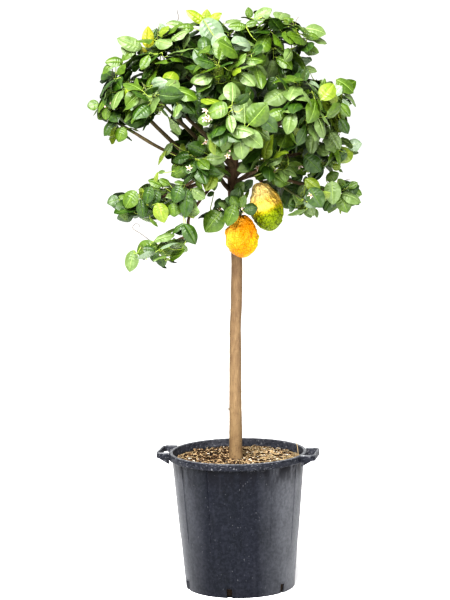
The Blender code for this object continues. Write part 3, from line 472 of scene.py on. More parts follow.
# Sky seen through and beside the crown, as ellipses in pixels of the photograph: middle across and
# down, half sizes across and down. No leaf or twig may stand in it.
SKY = np.array((
    (169, 109, 3, 6), (161, 120, 8, 5), (152, 133, 9, 7), (145, 143, 9, 6), (336, 62, 15, 12),
    (318, 226, 30, 7), (190, 262, 13, 9), (212, 237, 12, 6), (160, 274, 12, 6), (136, 226, 12, 5),
    (300, 12, 9, 6), (353, 122, 5, 16), (94, 88, 6, 11), (118, 148, 12, 4), (231, 15, 8, 4),
    (314, 75, 8, 4), (317, 57, 5, 8), (135, 235, 10, 5), (146, 266, 7, 4), (124, 187, 12, 4),
    (136, 30, 6, 4), (306, 21, 7, 6), (155, 233, 6, 3), (178, 268, 4, 4), (326, 76, 6, 3), (130, 245, 8, 4),
))

# Blossom and buds seen from the front, on the plane y = 0: across, up, flowers, buds, petal length.
FLOWERS = (
    (-0.068, 1.298, 3, 2, 0.010), (-0.075, 1.232, 1, 1, 0.008), (-0.119, 1.157, 1, 0, 0.009),
    (-0.014, 1.196, 1, 1, 0.008), (0.042, 1.138, 1, 0, 0.009), (0.081, 1.120, 1, 0, 0.009),
    (0.113, 1.144, 1, 0, 0.0125), (0.175, 1.154, 1, 1, 0.010), (0.207, 1.075, 1, 0, 0.009),
    (-0.046, 1.038, 1, 1, 0.008), (0.031, 1.040, 0, 2, 0.009), (0.067, 1.254, 0, 2, 0.010),
    (0.094, 1.251, 0, 1, 0.009), (-0.337, 1.335, 0, 2, 0.009),
)

# The way most leaves look that are seen flat on.
FRONT = (0.0, -1.0, 0.35)

# Leaves that the photograph shows one by one: colour, the pixels of root and tip, place along Y, the way
# the face looks, half width as a share of the length, droop and fold. The deep ones stand partly for
# painted shade, and the pale and bluish ones for painted sheen.
LEAVES_SEEN = (
    ("yellow", (148, 48), (148, 26), -0.060, (0.10, -1.00, 0.15), 0.29, 0.05, 0.10),
    ("yellow", (147, 52), (135, 45), -0.058, (0.10, -0.70, 0.60), 0.22, 0.10, 0.30),
    ("sprig", (206, 24), (186, 10), -0.040, (0.30, -0.90, 0.40), 0.24, 0.10, 0.20),
    ("sprig", (206, 24), (207, 9), -0.036, (0.00, -1.00, 0.10), 0.34, 0.05, 0.20),
    ("sprig", (206, 24), (222, 13), -0.044, (-0.30, -0.90, 0.40), 0.26, 0.10, 0.20),
    ("cream", (169, 101), (167, 84), -0.215, (0.30, -1.00, 0.10), 0.22, 0.05, 0.50),
    ("bluish", (203, 19), (222, 46), -0.120, (-0.10, -0.80, 0.60), 0.36, 0.10, 0.10),
    ("light", (142, 49), (117, 38), -0.070, (-0.10, -0.90, 0.40), 0.28, 0.15, 0.25),
    ("mid", (139, 46), (121, 61), -0.060, (-0.40, -0.75, 0.50), 0.28, 0.45, 0.25),
    ("pale", (166, 35), (159, 23), -0.040, FRONT, 0.32, 0.10, 0.20),
    ("deep", (152, 41), (157, 28), -0.020, FRONT, 0.26, 0.10, 0.20),
    ("mid", (194, 28), (168, 33), -0.050, (0.00, -0.75, 0.65), 0.28, 0.55, 0.25),
    ("deep", (173, 37), (150, 49), -0.070, (-0.10, -0.50, 0.85), 0.18, 0.15, 0.40),
    ("mid", (116, 62), (102, 74), -0.030, (-0.35, -0.75, 0.60), 0.27, 0.45, 0.25),
    ("mid", (250, 18), (248, 7), -0.030, (0.05, -1.00, 0.10), 0.36, 0.05, 0.10),
    ("light", (254, 19), (272, 9), -0.040, (-0.20, -0.90, 0.50), 0.34, 0.10, 0.20),
    ("mid", (284, 18), (294, 20), -0.030, (0.10, -0.50, 0.85), 0.30, 0.20, 0.30),
    ("light", (305, 29), (326, 35), -0.030, (0.20, -0.70, 0.70), 0.44, 0.50, 0.30),
    ("mid", (302, 34), (319, 39), -0.050, (0.20, -0.70, 0.60), 0.28, 0.30, 0.30),
    ("mid", (303, 47), (319, 53), -0.050, (0.20, -0.90, 0.40), 0.36, 0.10, 0.30),
    ("light", (305, 67), (317, 72), -0.040, (0.20, -0.80, 0.60), 0.32, 0.15, 0.30),
    ("deep", (309, 70), (296, 82), -0.060, (-0.10, -0.90, 0.30), 0.36, 0.10, 0.20),
    ("pale", (319, 93), (310, 80), -0.050, (-0.20, -0.90, 0.30), 0.26, 0.10, 0.30),
    ("mid", (321, 93), (325, 78), -0.050, (0.30, -0.90, 0.30), 0.22, 0.10, 0.30),
    ("mid", (336, 80), (353, 94), -0.040, (0.45, -0.75, 0.60), 0.42, 0.55, 0.25),
    ("pale", (333, 95), (342, 86), -0.060, (0.00, -0.90, 0.50), 0.42, 0.15, 0.20),
    ("pale", (342, 99), (350, 106), -0.040, (0.30, -0.80, 0.50), 0.30, 0.10, 0.20),
    ("deep", (188, 189), (185, 218), -0.160, FRONT, 0.24, 0.10, 0.25),
    ("deep", (181, 186), (174, 203), -0.165, (0.00, -0.80, 0.60), 0.42, 0.20, 0.20),
    ("light", (192, 189), (205, 199), -0.150, (0.10, -0.90, 0.30), 0.40, 0.10, 0.10),
    ("lime", (158, 203), (164, 223), -0.160, (0.10, -0.90, 0.40), 0.38, 0.20, 0.20),
    ("mid", (174, 203), (174, 217), -0.150, (0.00, -0.95, 0.20), 0.52, 0.20, 0.60),
    ("deep", (151, 186), (146, 204), -0.150, (-0.20, -0.90, 0.30), 0.32, 0.15, 0.30),
    ("deep", (158, 190), (150, 208), -0.140, FRONT, 0.32, 0.10, 0.30),
    ("mid", (170, 185), (159, 179), -0.140, (-0.10, -0.70, 0.70), 0.36, 0.30, 0.40),
    ("mid", (185, 184), (174, 182), -0.150, (0.00, -0.70, 0.70), 0.30, 0.30, 0.30),
    ("mid", (174, 164), (176, 177), -0.120, (-0.20, -0.90, 0.10), 0.28, 0.10, 0.30),
    ("deep", (185, 168), (186, 181), -0.120, FRONT, 0.42, 0.10, 0.20),
    ("lime", (203, 153), (188, 159), -0.140, (0.00, -0.80, 0.60), 0.36, 0.20, 0.30),
    ("light", (189, 155), (179, 163), -0.140, (-0.10, -0.80, 0.50), 0.28, 0.20, 0.30),
    ("light", (172, 143), (164, 156), -0.120, (-0.30, -0.80, 0.50), 0.30, 0.30, 0.40),
    ("lime", (166, 151), (158, 165), -0.125, (-0.40, -0.80, 0.30), 0.15, 0.45, 0.50),
    ("lime", (154, 185), (158, 172), -0.140, FRONT, 0.16, 0.15, 0.40),
    ("mid", (158, 173), (165, 171), -0.140, FRONT, 0.26, 0.15, 0.30),
    ("mid", (214, 178), (214, 191), -0.060, (0.10, -0.90, 0.10), 0.30, 0.10, 0.30),
    ("deep", (214, 192), (207, 196), -0.060, (-0.20, -0.80, 0.40), 0.35, 0.20, 0.30),
    ("deep", (206, 179), (205, 188), -0.060, FRONT, 0.35, 0.10, 0.30),
    ("deep", (214, 168), (225, 174), -0.050, FRONT, 0.22, 0.10, 0.30),
    ("deep", (217, 210), (220, 198), -0.080, FRONT, 0.34, 0.10, 0.40),
    ("mid", (221, 212), (205, 232), -0.090, FRONT, 0.44, 0.15, 0.30),
    ("mid", (235, 205), (227, 226), -0.120, (-0.10, -0.95, 0.30), 0.34, 0.15, 0.20),
    ("mid", (238, 208), (231, 196), -0.115, FRONT, 0.36, 0.10, 0.40),
    ("mid", (240, 208), (245, 195), -0.110, FRONT, 0.32, 0.10, 0.40),
    ("deep", (244, 210), (258, 208), -0.115, (0.10, -0.90, 0.40), 0.46, 0.15, 0.30),
    ("deep", (186, 224), (172, 234), -0.160, (-0.20, -0.60, 0.80), 0.26, 0.50, 0.30),
    ("deep", (184, 224), (195, 245), -0.165, (0.40, -0.80, 0.40), 0.35, 0.35, 0.30),
    ("light", (134, 250), (129, 272), -0.115, (-0.20, -0.95, 0.30), 0.33, 0.15, 0.35),
    ("deep", (143, 249), (155, 250), -0.150, (0.00, -0.80, 0.60), 0.42, 0.20, 0.20),
    ("deep", (142, 250), (144, 260), -0.110, FRONT, 0.42, 0.10, 0.20),
    ("deep", (156, 250), (153, 262), -0.140, FRONT, 0.42, 0.15, 0.20),
    ("deep", (119, 199), (107, 203), -0.080, (-0.30, -0.90, 0.30), 0.50, 0.15, 0.15),
    ("mid", (136, 191), (125, 208), -0.120, (-0.10, -0.85, 0.50), 0.44, 0.20, 0.15),
    ("deep", (141, 199), (143, 218), -0.125, (0.10, -0.90, 0.30), 0.32, 0.15, 0.25),
    ("mid", (120, 208), (127, 221), -0.090, (-0.30, -0.85, 0.20), 0.30, 0.15, 0.40),
    ("deep", (141, 213), (128, 213), -0.090, (0.00, -0.80, 0.50), 0.26, 0.20, 0.30),
    ("mid", (150, 219), (158, 227), -0.120, FRONT, 0.16, 0.10, 0.30),
    ("lime", (338, 120), (340, 133), -0.040, (0.10, -0.90, 0.20), 0.42, 0.10, 0.30),
    ("light", (330, 132), (340, 150), -0.090, (-0.10, -0.85, 0.40), 0.30, 0.15, 0.25),
    ("deep", (347, 152), (332, 160), -0.080, (0.00, -0.90, 0.40), 0.38, 0.20, 0.20),
    ("pale", (347, 146), (362, 144), -0.050, (0.10, -0.80, 0.60), 0.50, 0.25, 0.20),
    ("mid", (349, 151), (345, 163), -0.050, (0.20, -0.90, 0.30), 0.34, 0.20, 0.40),
    ("light", (313, 133), (311, 155), -0.110, (0.00, -0.90, 0.40), 0.30, 0.10, 0.25),
    ("deep", (304, 156), (321, 172), -0.120, FRONT, 0.38, 0.10, 0.20),
    ("mid", (326, 156), (332, 168), -0.080, FRONT, 0.26, 0.10, 0.50),
    ("lime", (332, 167), (341, 167), -0.070, (0.10, -0.90, 0.20), 0.42, 0.15, 0.40),
    ("mid", (338, 179), (345, 188), -0.070, FRONT, 0.36, 0.15, 0.20),
    ("light", (332, 181), (333, 205), -0.120, (0.00, -0.90, 0.40), 0.36, 0.15, 0.20),
    ("mid", (341, 194), (347, 213), -0.090, (0.10, -0.90, 0.40), 0.42, 0.20, 0.20),
    ("deep", (351, 196), (359, 205), -0.050, (0.30, -0.85, 0.30), 0.36, 0.20, 0.30),
    ("deep", (310, 188), (322, 208), -0.170, FRONT, 0.40, 0.15, 0.20),
    ("lime", (305, 179), (320, 191), -0.130, (0.00, -0.85, 0.50), 0.36, 0.20, 0.20),
    ("deep", (331, 200), (324, 211), -0.090, FRONT, 0.42, 0.15, 0.20),
    ("mid", (316, 209), (317, 218), -0.080, FRONT, 0.24, 0.10, 0.30),
    ("deep", (199, 93), (195, 112), -0.110, FRONT, 0.40, 0.10, 0.20),
    ("deep", (193, 106), (201, 124), -0.110, FRONT, 0.40, 0.10, 0.20),
    ("deep", (262, 76), (257, 93), -0.120, FRONT, 0.42, 0.10, 0.20),
    ("deep", (276, 77), (268, 91), -0.120, FRONT, 0.42, 0.10, 0.20),
    ("mid", (235, 193), (244, 182), -0.060, FRONT, 0.36, 0.10, 0.30),
    ("deep", (247, 192), (240, 181), -0.050, FRONT, 0.36, 0.10, 0.30),
    ("deep", (297, 183), (286, 208), -0.050, FRONT, 0.34, 0.10, 0.20),
    ("light", (307, 186), (298, 196), -0.100, FRONT, 0.42, 0.10, 0.20),
    ("light", (303, 199), (288, 206), -0.110, FRONT, 0.40, 0.15, 0.20),
    ("light", (307, 203), (314, 216), -0.100, FRONT, 0.36, 0.10, 0.20),
    ("mid", (123, 62), (105, 62), -0.030, (-0.30, -0.80, 0.55), 0.36, 0.25, 0.25),
    ("light", (136, 56), (121, 47), -0.055, (-0.20, -0.80, 0.60), 0.38, 0.30, 0.25),
    ("mid", (340, 104), (350, 117), -0.060, (0.30, -0.85, 0.40), 0.36, 0.15, 0.25),
    ("deep", (340, 119), (348, 134), -0.060, (0.30, -0.90, 0.30), 0.36, 0.15, 0.25),
    ("mid", (163, 186), (148, 180), -0.140, (-0.10, -0.70, 0.70), 0.36, 0.30, 0.30),
    ("mid", (306, 205), (311, 218), -0.090, FRONT, 0.38, 0.10, 0.25),
    ("mid", (99, 104), (87, 106), -0.040, (-0.30, -0.90, 0.30), 0.48, 0.15, 0.20),
    ("deep", (114, 122), (104, 136), -0.050, (-0.30, -0.90, 0.30), 0.36, 0.15, 0.30),
    ("mid", (246, 27), (228, 26), -0.060, (0.00, -0.75, 0.65), 0.34, 0.25, 0.25),
    ("light", (186, 28), (166, 23), -0.030, (0.00, -0.80, 0.60), 0.30, 0.25, 0.25),
    ("mid", (246, 25), (258, 22), -0.050, (0.10, -0.80, 0.60), 0.34, 0.20, 0.25),
    ("mid", (124, 127), (118, 142), -0.070, (-0.10, -0.90, 0.40), 0.42, 0.15, 0.25),
    ("mid", (106, 120), (106, 107), -0.070, (-0.20, -0.90, 0.40), 0.36, 0.15, 0.25),
    ("deep", (244, 188), (253, 180), -0.050, FRONT, 0.38, 0.10, 0.25),
    ("mid", (326, 180), (339, 173), -0.070, FRONT, 0.36, 0.10, 0.25),
    ("deep", (190, 230), (175, 233), -0.150, (-0.10, -0.80, 0.60), 0.30, 0.25, 0.30),
    ("deep", (292, 181), (303, 176), -0.050, FRONT, 0.40, 0.10, 0.25),
    ("deep", (160, 256), (164, 267), -0.120, FRONT, 0.42, 0.10, 0.25),
    ("mid", (349, 190), (362, 195), -0.050, (0.20, -0.90, 0.40), 0.42, 0.20, 0.25),
    ("mid", (348, 187), (358, 183), -0.060, (0.10, -0.90, 0.40), 0.38, 0.15, 0.25),
)

# Dry tendrils, each from where it leaves its twig to its tip.
TENDRIL_RADII = (0.0009, 0.0006)
TENDRIL_STEPS = 6
TENDRILS = (
    ((-0.140, -0.020, 1.549), (-0.138, -0.020, 1.563), (-0.141, -0.020, 1.573), (-0.142, -0.020, 1.582)),
    ((0.171, -0.020, 1.539), (0.176, -0.020, 1.549), (0.182, -0.020, 1.558)),
    ((-0.232, -0.100, 0.978), (-0.252, -0.100, 0.993), (-0.269, -0.100, 1.004), (-0.270, -0.100, 1.011),
     (-0.263, -0.100, 1.018), (-0.254, -0.100, 1.016), (-0.253, -0.100, 1.009)),
    ((0.289, -0.050, 1.109), (0.296, -0.050, 1.117), (0.305, -0.050, 1.122), (0.313, -0.050, 1.121)),
)


class Surface:
    """A node material, built up round one Principled shader. Patterns run in the part's own metres."""

    def __init__(self, name):
        self.material = bpy.data.materials.new(name)
        self.material.use_nodes = True
        self.tree = self.material.node_tree
        self.shader = self.tree.nodes["Principled BSDF"]
        self.place = self.add("ShaderNodeTexCoord").outputs["Object"]

    def set(self, socket, value):
        """Links an output to a socket, or gives the socket a value."""
        if isinstance(value, bpy.types.NodeSocket):
            self.tree.links.new(value, socket)
        else:
            socket.default_value = value

    def add(self, kind, inputs=None, **settings):
        """A node with its settings and inputs."""
        made = self.tree.nodes.new(kind)
        for name, value in settings.items():
            setattr(made, name, value)
        for name, value in (inputs or {}).items():
            self.set(made.inputs[name], value)
        return made

    def noise(self, scale, detail=3.0, stretch=(1, 1, 1), rough=0.55):
        """Noise of so many waves a metre, stretched along an axis where its share is under 1."""
        spot = self.add("ShaderNodeMapping", {"Vector": self.place, "Scale": stretch}).outputs[0]
        made = self.add("ShaderNodeTexNoise", {"Vector": spot, "Scale": scale, "Detail": detail,
                                               "Roughness": rough})
        return made.outputs["Fac"]

    def math(self, operation, first, second):
        """Two numbers put together, at least one of which varies over the surface."""
        return self.add("ShaderNodeMath", {0: first, 1: second}, operation=operation).outputs[0]

    def times(self, first, second):
        """Two numbers multiplied."""
        return self.math("MULTIPLY", first, second)

    def cells(self, scale):
        """The distance to the nearest of many scattered points, so many a metre."""
        made = self.add("ShaderNodeTexVoronoi", {"Vector": self.place, "Scale": scale}, feature="F1")
        return made.outputs["Distance"]

    def ramp(self, factor, *stops):
        """Colours or greys along a factor. Each stop is (place, colour)."""
        made = self.add("ShaderNodeValToRGB", {"Fac": factor})
        elements = made.color_ramp.elements
        for index, (spot, colour) in enumerate(stops):
            element = elements[index] if index < 2 else elements.new(spot)
            element.position = spot
            element.color = grey(colour)
        return made.outputs["Color"]

    def mix(self, factor, first, second):
        """Two colours mixed by a factor."""
        made = self.add("ShaderNodeMix", data_type="RGBA")
        self.set(made.inputs[0], factor)
        for socket, value in ((made.inputs[6], first), (made.inputs[7], second)):
            self.set(socket, value if isinstance(value, bpy.types.NodeSocket) else grey(value))
        return made.outputs[2]

    def axis(self, letter):
        """The place along X, Y or Z."""
        return self.add("ShaderNodeSeparateXYZ", {"Vector": self.place}).outputs[letter]

    def rising(self, letter, low, high):
        """A share that rises from 0 at one place along an axis to 1 at another."""
        spot = self.axis(letter)
        made = self.add("ShaderNodeMapRange", {"Value": spot, "From Min": low, "From Max": high})
        return made.outputs[0]

    def inwards(self):
        """1 on faces that look towards the part's upright axis, 0 on the others."""
        flat = self.add("ShaderNodeVectorMath", {0: self.place, 1: (1, 1, 0)}, operation="MULTIPLY")
        facing = self.add("ShaderNodeNewGeometry").outputs["Normal"]
        along = self.add("ShaderNodeVectorMath", {0: flat.outputs[0], 1: facing}, operation="DOT_PRODUCT")
        return self.math("LESS_THAN", along.outputs["Value"], -0.02)

    def shade(self, colour, roughness, **sockets):
        """Sets the shader's colour, roughness and any other sockets, named with _ for a space."""
        self.set(self.shader.inputs["Base Color"], grey(colour) if isinstance(colour, tuple) else colour)
        self.set(self.shader.inputs["Roughness"], roughness)
        for name, value in sockets.items():
            self.set(self.shader.inputs[name.replace("_", " ")], value)
        return self

    def bump(self, height, depth, strength=1.0):
        """Relief of a depth in metres."""
        made = self.add("ShaderNodeBump", {"Height": height, "Distance": depth, "Strength": strength})
        below = self.shader.inputs["Normal"].links
        if below:
            self.set(made.inputs["Normal"], below[0].from_socket)
        self.set(self.shader.inputs["Normal"], made.outputs[0])
        return self


def grey(value):
    """A colour with alpha, from a grey or a colour."""
    if isinstance(value, (int, float)):
        return (value, value, value, 1.0)
    return (*value, 1.0)


def add_object(name, data):
    """An object of this data in the scene."""
    made = bpy.data.objects.new(name, data)
    bpy.context.scene.collection.objects.link(made)
    return made


class Pile:
    """Corners and faces gathered for one joined piece, each face with the number of its material."""

    def __init__(self):
        self.corners = []
        self.faces = []
        self.kinds = []
        self.count = 0

    def add(self, corners, faces, kind=0):
        """Adds a shape. faces is one array of triangles or of quads, or several."""
        corners = np.asarray(corners, float).reshape(-1, 3)
        for group in faces if isinstance(faces, (list, tuple)) else [faces]:
            group = np.asarray(group)
            if len(group):
                self.faces.append(group + self.count)
                self.kinds.append(np.broadcast_to(kind, len(group)))
        self.corners.append(corners)
        self.count += len(corners)

    def build(self, name, surfaces, smooth=True, crease=None):
        """Makes the piece. Edges that bend by more than the crease, in degrees, stay sharp."""
        mesh = bpy.data.meshes.new(name)
        corners = np.concatenate(self.corners)
        loops = np.concatenate([group.ravel() for group in self.faces])
        sizes = np.concatenate([np.full(len(group), group.shape[1]) for group in self.faces])
        starts = np.concatenate([[0], np.cumsum(sizes)[:-1]])
        mesh.vertices.add(len(corners))
        mesh.vertices.foreach_set("co", corners.astype(np.float32).ravel())
        mesh.loops.add(len(loops))
        mesh.loops.foreach_set("vertex_index", loops.astype(np.int32))
        mesh.polygons.add(len(sizes))
        mesh.polygons.foreach_set("loop_start", starts.astype(np.int32))
        mesh.polygons.foreach_set("material_index", np.concatenate(self.kinds).astype(np.int32))
        mesh.polygons.foreach_set("use_smooth", np.full(len(sizes), smooth))
        mesh.update(calc_edges=True)
        mesh.validate()
        if crease:
            mesh.set_sharp_from_angle(angle=math.radians(crease))
        for surface in surfaces:
            mesh.materials.append(surface.material)
        return add_object(name, mesh)


def place(made, slot, *nodes):
    """Rides a piece on the plant's one body and hides the nodes it stands for. The slot is not used."""
    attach(made, "root")
    if nodes:
        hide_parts(*nodes)
    return made


def grid_faces(rows, columns, closed):
    """Quads of a grid of rows and columns. A closed grid joins its last column to its first."""
    across = np.arange(columns if closed else columns - 1)
    low = np.arange(rows - 1)[:, None] * columns
    following = (across + 1) % columns
    quads = np.stack([low + across, low + following, low + columns + following, low + columns + across])
    return quads.transpose(1, 2, 0).reshape(-1, 4)


def closed_rings(rings, ends):
    """Corners and faces of a closed solid, from rings of corners and the points at its two ends."""
    rows, sides = rings.shape[:2]
    side = np.arange(sides)
    following = (side + 1) % sides
    last = (rows - 1) * sides
    end = np.full(sides, rows * sides)
    caps = np.concatenate([np.stack([following, side, end], axis=1),
                           np.stack([last + side, last + following, end + 1], axis=1)])
    return np.concatenate([rings.reshape(-1, 3), ends]), [grid_faces(rows, sides, True), caps]


def around(radius, azimuth, height):
    """The point at this radius, azimuth in degrees and height."""
    turn = math.radians(azimuth)
    return Vector((radius * math.cos(turn), radius * math.sin(turn), height))


def square_to(way):
    """Two directions square to a way and to each other."""
    across = way.orthogonal().normalized()
    return across, way.cross(across)


def spoke(turn, across, other):
    """The direction at a turn from the first of two directions towards the other."""
    return math.cos(turn) * across + math.sin(turn) * other


def nearest(points, spot):
    """The one of the points that is nearest to a spot."""
    return min(points, key=lambda point: (point - spot).length)


def strayed(draw, spread):
    """A small step in any direction."""
    return Vector([draw.gauss(0, spread) for _ in range(3)])


def smooth_path(stations, count):
    """Points along a smooth curve through the stations."""
    padded = [2 * stations[0] - stations[1]] + stations + [2 * stations[-1] - stations[-2]]
    path = []
    for step in range(count + 1):
        spot = step * (len(stations) - 1) / count
        index = min(int(spot), len(stations) - 2)
        t = spot - index
        a, b, c, d = padded[index:index + 4]
        path.append(0.5 * (2 * b + (c - a) * t + (2 * a - 5 * b + 4 * c - d) * t ** 2
                           + (3 * b - a - 3 * c + d) * t ** 3))
    return path


def taper(first, last, count):
    """Radii that shrink evenly along a limb."""
    return [first + (last - first) * i / count for i in range(count + 1)]


def tube(path, radii, sides, relief=0.0):
    """Corners and faces of a closed tube. relief adds to the radius, as rows by sides."""
    path = np.array([tuple(point) for point in path])
    ways = np.gradient(path, axis=0)
    ways /= np.linalg.norm(ways, axis=1)[:, None]
    across = np.array(Vector(ways[0]).orthogonal().normalized())
    turns = 2 * math.pi * np.arange(sides) / sides
    reach = np.broadcast_to(np.asarray(radii)[:, None] + relief, (len(path), sides))
    rings = np.empty((len(path), sides, 3))
    for row, (point, way) in enumerate(zip(path, ways)):
        across = across - way * across.dot(way)
        across /= np.linalg.norm(across)
        other = np.cross(way, across)
        spokes = np.cos(turns)[:, None] * across + np.sin(turns)[:, None] * other
        rings[row] = point + spokes * reach[row][:, None]
    return closed_rings(rings, path[[0, -1]])


def knots(table, height):
    """The value at a height, read smoothly between the named ones."""
    for (low, first), (high, second) in zip(table, table[1:]):
        if height <= high:
            share = max(0.0, (height - low) / (high - low))
            return first + (second - first) * share * share * (3 - 2 * share)
    return table[-1][1]


def trunk_limb():
    """The trunk's centre line and radii, from the soil to the tip of its leader."""
    steps = math.ceil((TRUNK_TIP - TRUNK_FOOT) / TRUNK_STEP)
    heights = [TRUNK_FOOT + (TRUNK_TIP - TRUNK_FOOT) * i / steps for i in range(steps + 1)]
    path = [Vector((knots(TRUNK_DRIFT, z), TRUNK_Y, z)) for z in heights]
    return path, [knots(TRUNK_RADIUS, z) for z in heights]


def leave_limb(parent, at, towards, on_trunk):
    """Where a limb leaves its parent: a point inside it, one on its side, and the way out."""
    path, radii = parent
    if on_trunk:
        index = min(range(len(path) - 1), key=lambda i: abs(path[i].z - at))
    else:
        index = min(int(at * (len(path) - 1)), len(path) - 2)
    way = (path[index + 1] - path[index]).normalized()
    out = towards - path[index]
    out = (out - way * out.dot(way)).normalized()
    inside = LIMB_ROOT_INSIDE * radii[index]
    return path[index] + out * inside, path[index] + out * radii[index], out


def plan_limbs():
    """Every limb as (path, radii): the trunk, the boughs and the masses' own stems."""
    limbs = {"trunk": trunk_limb()}
    by_name = {mass.name: mass for mass in MASSES}
    for bough in BOUGHS:
        bends = [Vector(bend) for bend in bough.bends]
        root, side, way = leave_limb(limbs[bough.parent], bough.at, bends[0], bough.parent == "trunk")
        mass = by_name[bough.mass]
        middle = Vector(mass.middle)
        back = bends[-1] - middle
        short = min(BOUGH_STOP_SHORT * min(mass.reach), BOUGH_STOP_MOST * back.length)
        end = middle + back.normalized() * short
        line = smooth_path([root - UP * BOUGH_CROTCH, side + way * BOUGH_SET_OUT, *bends, end], BOUGH_STEPS)
        limbs[bough.name] = (line, taper(bough.radius, BOUGH_TIP_RADIUS, BOUGH_STEPS))
    for mass in MASSES:
        limbs["stem_" + mass.name] = plan_stem(mass, limbs)
    return limbs


def plan_stem(mass, limbs):
    """A mass's stem: it grows on from what carries the mass, crosses the middle and thins."""
    path, radii = limbs[mass.carrier]
    middle = Vector(mass.middle)
    from_tip = mass.carrier != "trunk" and mass.at == 1 or mass.at == TRUNK_TIP
    if from_tip:
        way = (path[-1] - path[-2]).normalized()
        start = path[-1]
        radius = radii[-1]
    else:
        radius = BOUGH_TIP_RADIUS
        _, start, way = leave_limb(limbs[mass.carrier], mass.at, middle, mass.carrier == "trunk")
        start = start - way * radius
    onward = outward(mass) * STEM_OUTWARD + (middle - start).normalized() * STEM_ONWARD
    end = middle + onward.normalized() * STEM_PAST_MIDDLE * min(mass.reach)
    stations = [start, start + way * STEM_SET_OUT, middle, end]
    return smooth_path(stations, STEM_STEPS), taper(radius, STEM_TIP_RADIUS, STEM_STEPS)


def outward(mass):
    """The way out of the crown at a mass: up where the mass is high, and else nearly sideways."""
    way = Vector(mass.middle) - HEART
    way.z = max(way.z, OUTWARD_LOWEST * way.length)
    return way.normalized()


class Space:
    """The room a mass may fill: its own reach, up to the planes that part it from its neighbours."""

    def __init__(self, mass):
        self.middle = np.array(mass.middle)
        self.reach = np.array(mass.reach)
        size = np.mean(self.reach)
        normals = []
        offsets = []
        for other in MASSES:
            if other.name == mass.name:
                continue
            gap = np.array(other.middle) - self.middle
            distance = np.linalg.norm(gap)
            normals.append(gap / distance)
            offsets.append((distance ** 2 + size ** 2 - np.mean(other.reach) ** 2) / (2 * distance))
        self.normals = np.array(normals)
        self.offsets = np.array(offsets)

    def holds(self, points, overlap=0.0):
        """True where every point is inside, or past a neighbour's plane by no more than the overlap."""
        local = np.asarray(points) - self.middle
        return bool((local @ self.normals.T <= self.offsets + overlap).all()
                    and (((local / self.reach) ** 2).sum(axis=1) <= 1).all())

    def distance(self, way):
        """How far the space runs from its middle along a way."""
        way = np.asarray(way)
        closing = np.maximum(self.normals @ way, 1e-6)
        return min((self.offsets / closing).min(), 1 / np.linalg.norm(way / self.reach))


class Limbs:
    """The limbs as straight pieces, to keep twigs and leaves off them."""

    def __init__(self, limbs):
        self.names = []
        starts, ends, radii = [], [], []
        for name, (path, limb_radii) in limbs.items():
            stride = TRUNK_STRIDE if name == "trunk" else LIMB_STRIDE
            spots = list(range(0, len(path) - 1, stride)) + [len(path) - 1]
            for low, high in zip(spots, spots[1:]):
                self.names.append(name)
                starts.append(path[low])
                ends.append(path[high])
                radii.append(max(limb_radii[low], limb_radii[high]))
        self.names = np.array(self.names)
        self.starts = np.array(starts)
        self.runs = np.array(ends) - self.starts
        self.radii = np.array(radii)

    def touch(self, points, own):
        """True where a point comes too near to a limb that isn't the mass's own stem."""
        points = np.asarray(points)[:, None, :]
        keep = self.names != own
        starts, runs = self.starts[keep], self.runs[keep]
        share = ((points - starts) * runs).sum(axis=2) / (runs ** 2).sum(axis=1)
        nearest_spots = starts + np.clip(share, 0, 1)[..., None] * runs
        distance = np.linalg.norm(points - nearest_spots, axis=2)
        return bool((distance < self.radii[keep] + LIMB_MARGIN).any())


def pixels_of(points):
    """The pixels of the photograph that points are seen at, across and down."""
    local = (np.asarray(points, float).reshape(-1, 3) - np.array(CAMERA_AT)) @ np.array(CAMERA_TURN)
    across = PHOTO_SIZE[0] / 2 - FOCAL_PIXELS * local[:, 0] / local[:, 2]
    down = PHOTO_SIZE[1] / 2 + FOCAL_PIXELS * local[:, 1] / local[:, 2]
    return np.stack([across, down], axis=1)


def behind_pixel(pixel, depth):
    """The point that is seen at a pixel of the photograph, at this place along Y."""
    ray = CAMERA_TURN @ Vector((pixel[0] - PHOTO_SIZE[0] / 2, PHOTO_SIZE[1] / 2 - pixel[1], -FOCAL_PIXELS))
    return CAMERA_AT + ray * ((depth - CAMERA_AT.y) / ray.y)


def near_citron(points, hung):
    """True where a point is too near to a citron's rounded outline, or inside it."""
    middle, lean = np.array(hung.middle), np.array(Vector(hung.lean).normalized())
    local = np.asarray(points) - middle
    up = local @ lean
    flat = np.linalg.norm(local - up[:, None] * lean, axis=1)
    wide = flat / (CITRON_RADIUS * CITRON_SWELL + LIMB_MARGIN)
    high = up / (hung.half_height * CITRON_SWELL + LIMB_MARGIN)
    return bool((wide ** 2 + high ** 2 < 1).any())


def hides_citron(points, hung):
    """True where a point stands in front of a citron, as the camera sees it."""
    middle = Vector(hung.middle)
    before = np.asarray(points)[:, 1] < middle.y
    size = CITRON_CLEAR_VIEW * FOCAL_PIXELS / -CAMERA_AT.y
    gap = (pixels_of(points) - pixels_of([middle])) / (CITRON_RADIUS * size, hung.half_height * size)
    return bool((before & ((gap ** 2).sum(axis=1) < 1)).any())


def in_sky(points):
    """True where a point is seen against one of the crown's openings."""
    seen = pixels_of(points)
    return any(((((seen - spot[:2]) / spot[2:]) ** 2).sum(axis=1) < 1).any() for spot in SKY)


def fits(points, space, obstacles, own, overlap=0.0):
    """True where points stay in the mass's space and off the other limbs and the citrons."""
    points = np.array([tuple(point) for point in points])
    if not space.holds(points[1:], overlap) or in_sky(points):
        return False
    if any(near_citron(points, hung) or hides_citron(points, hung) for hung in CITRONS.values()):
        return False
    return not obstacles.touch(points, own)


Leaf = namedtuple("Leaf", "root along face length width droop fold twist ripple tint")


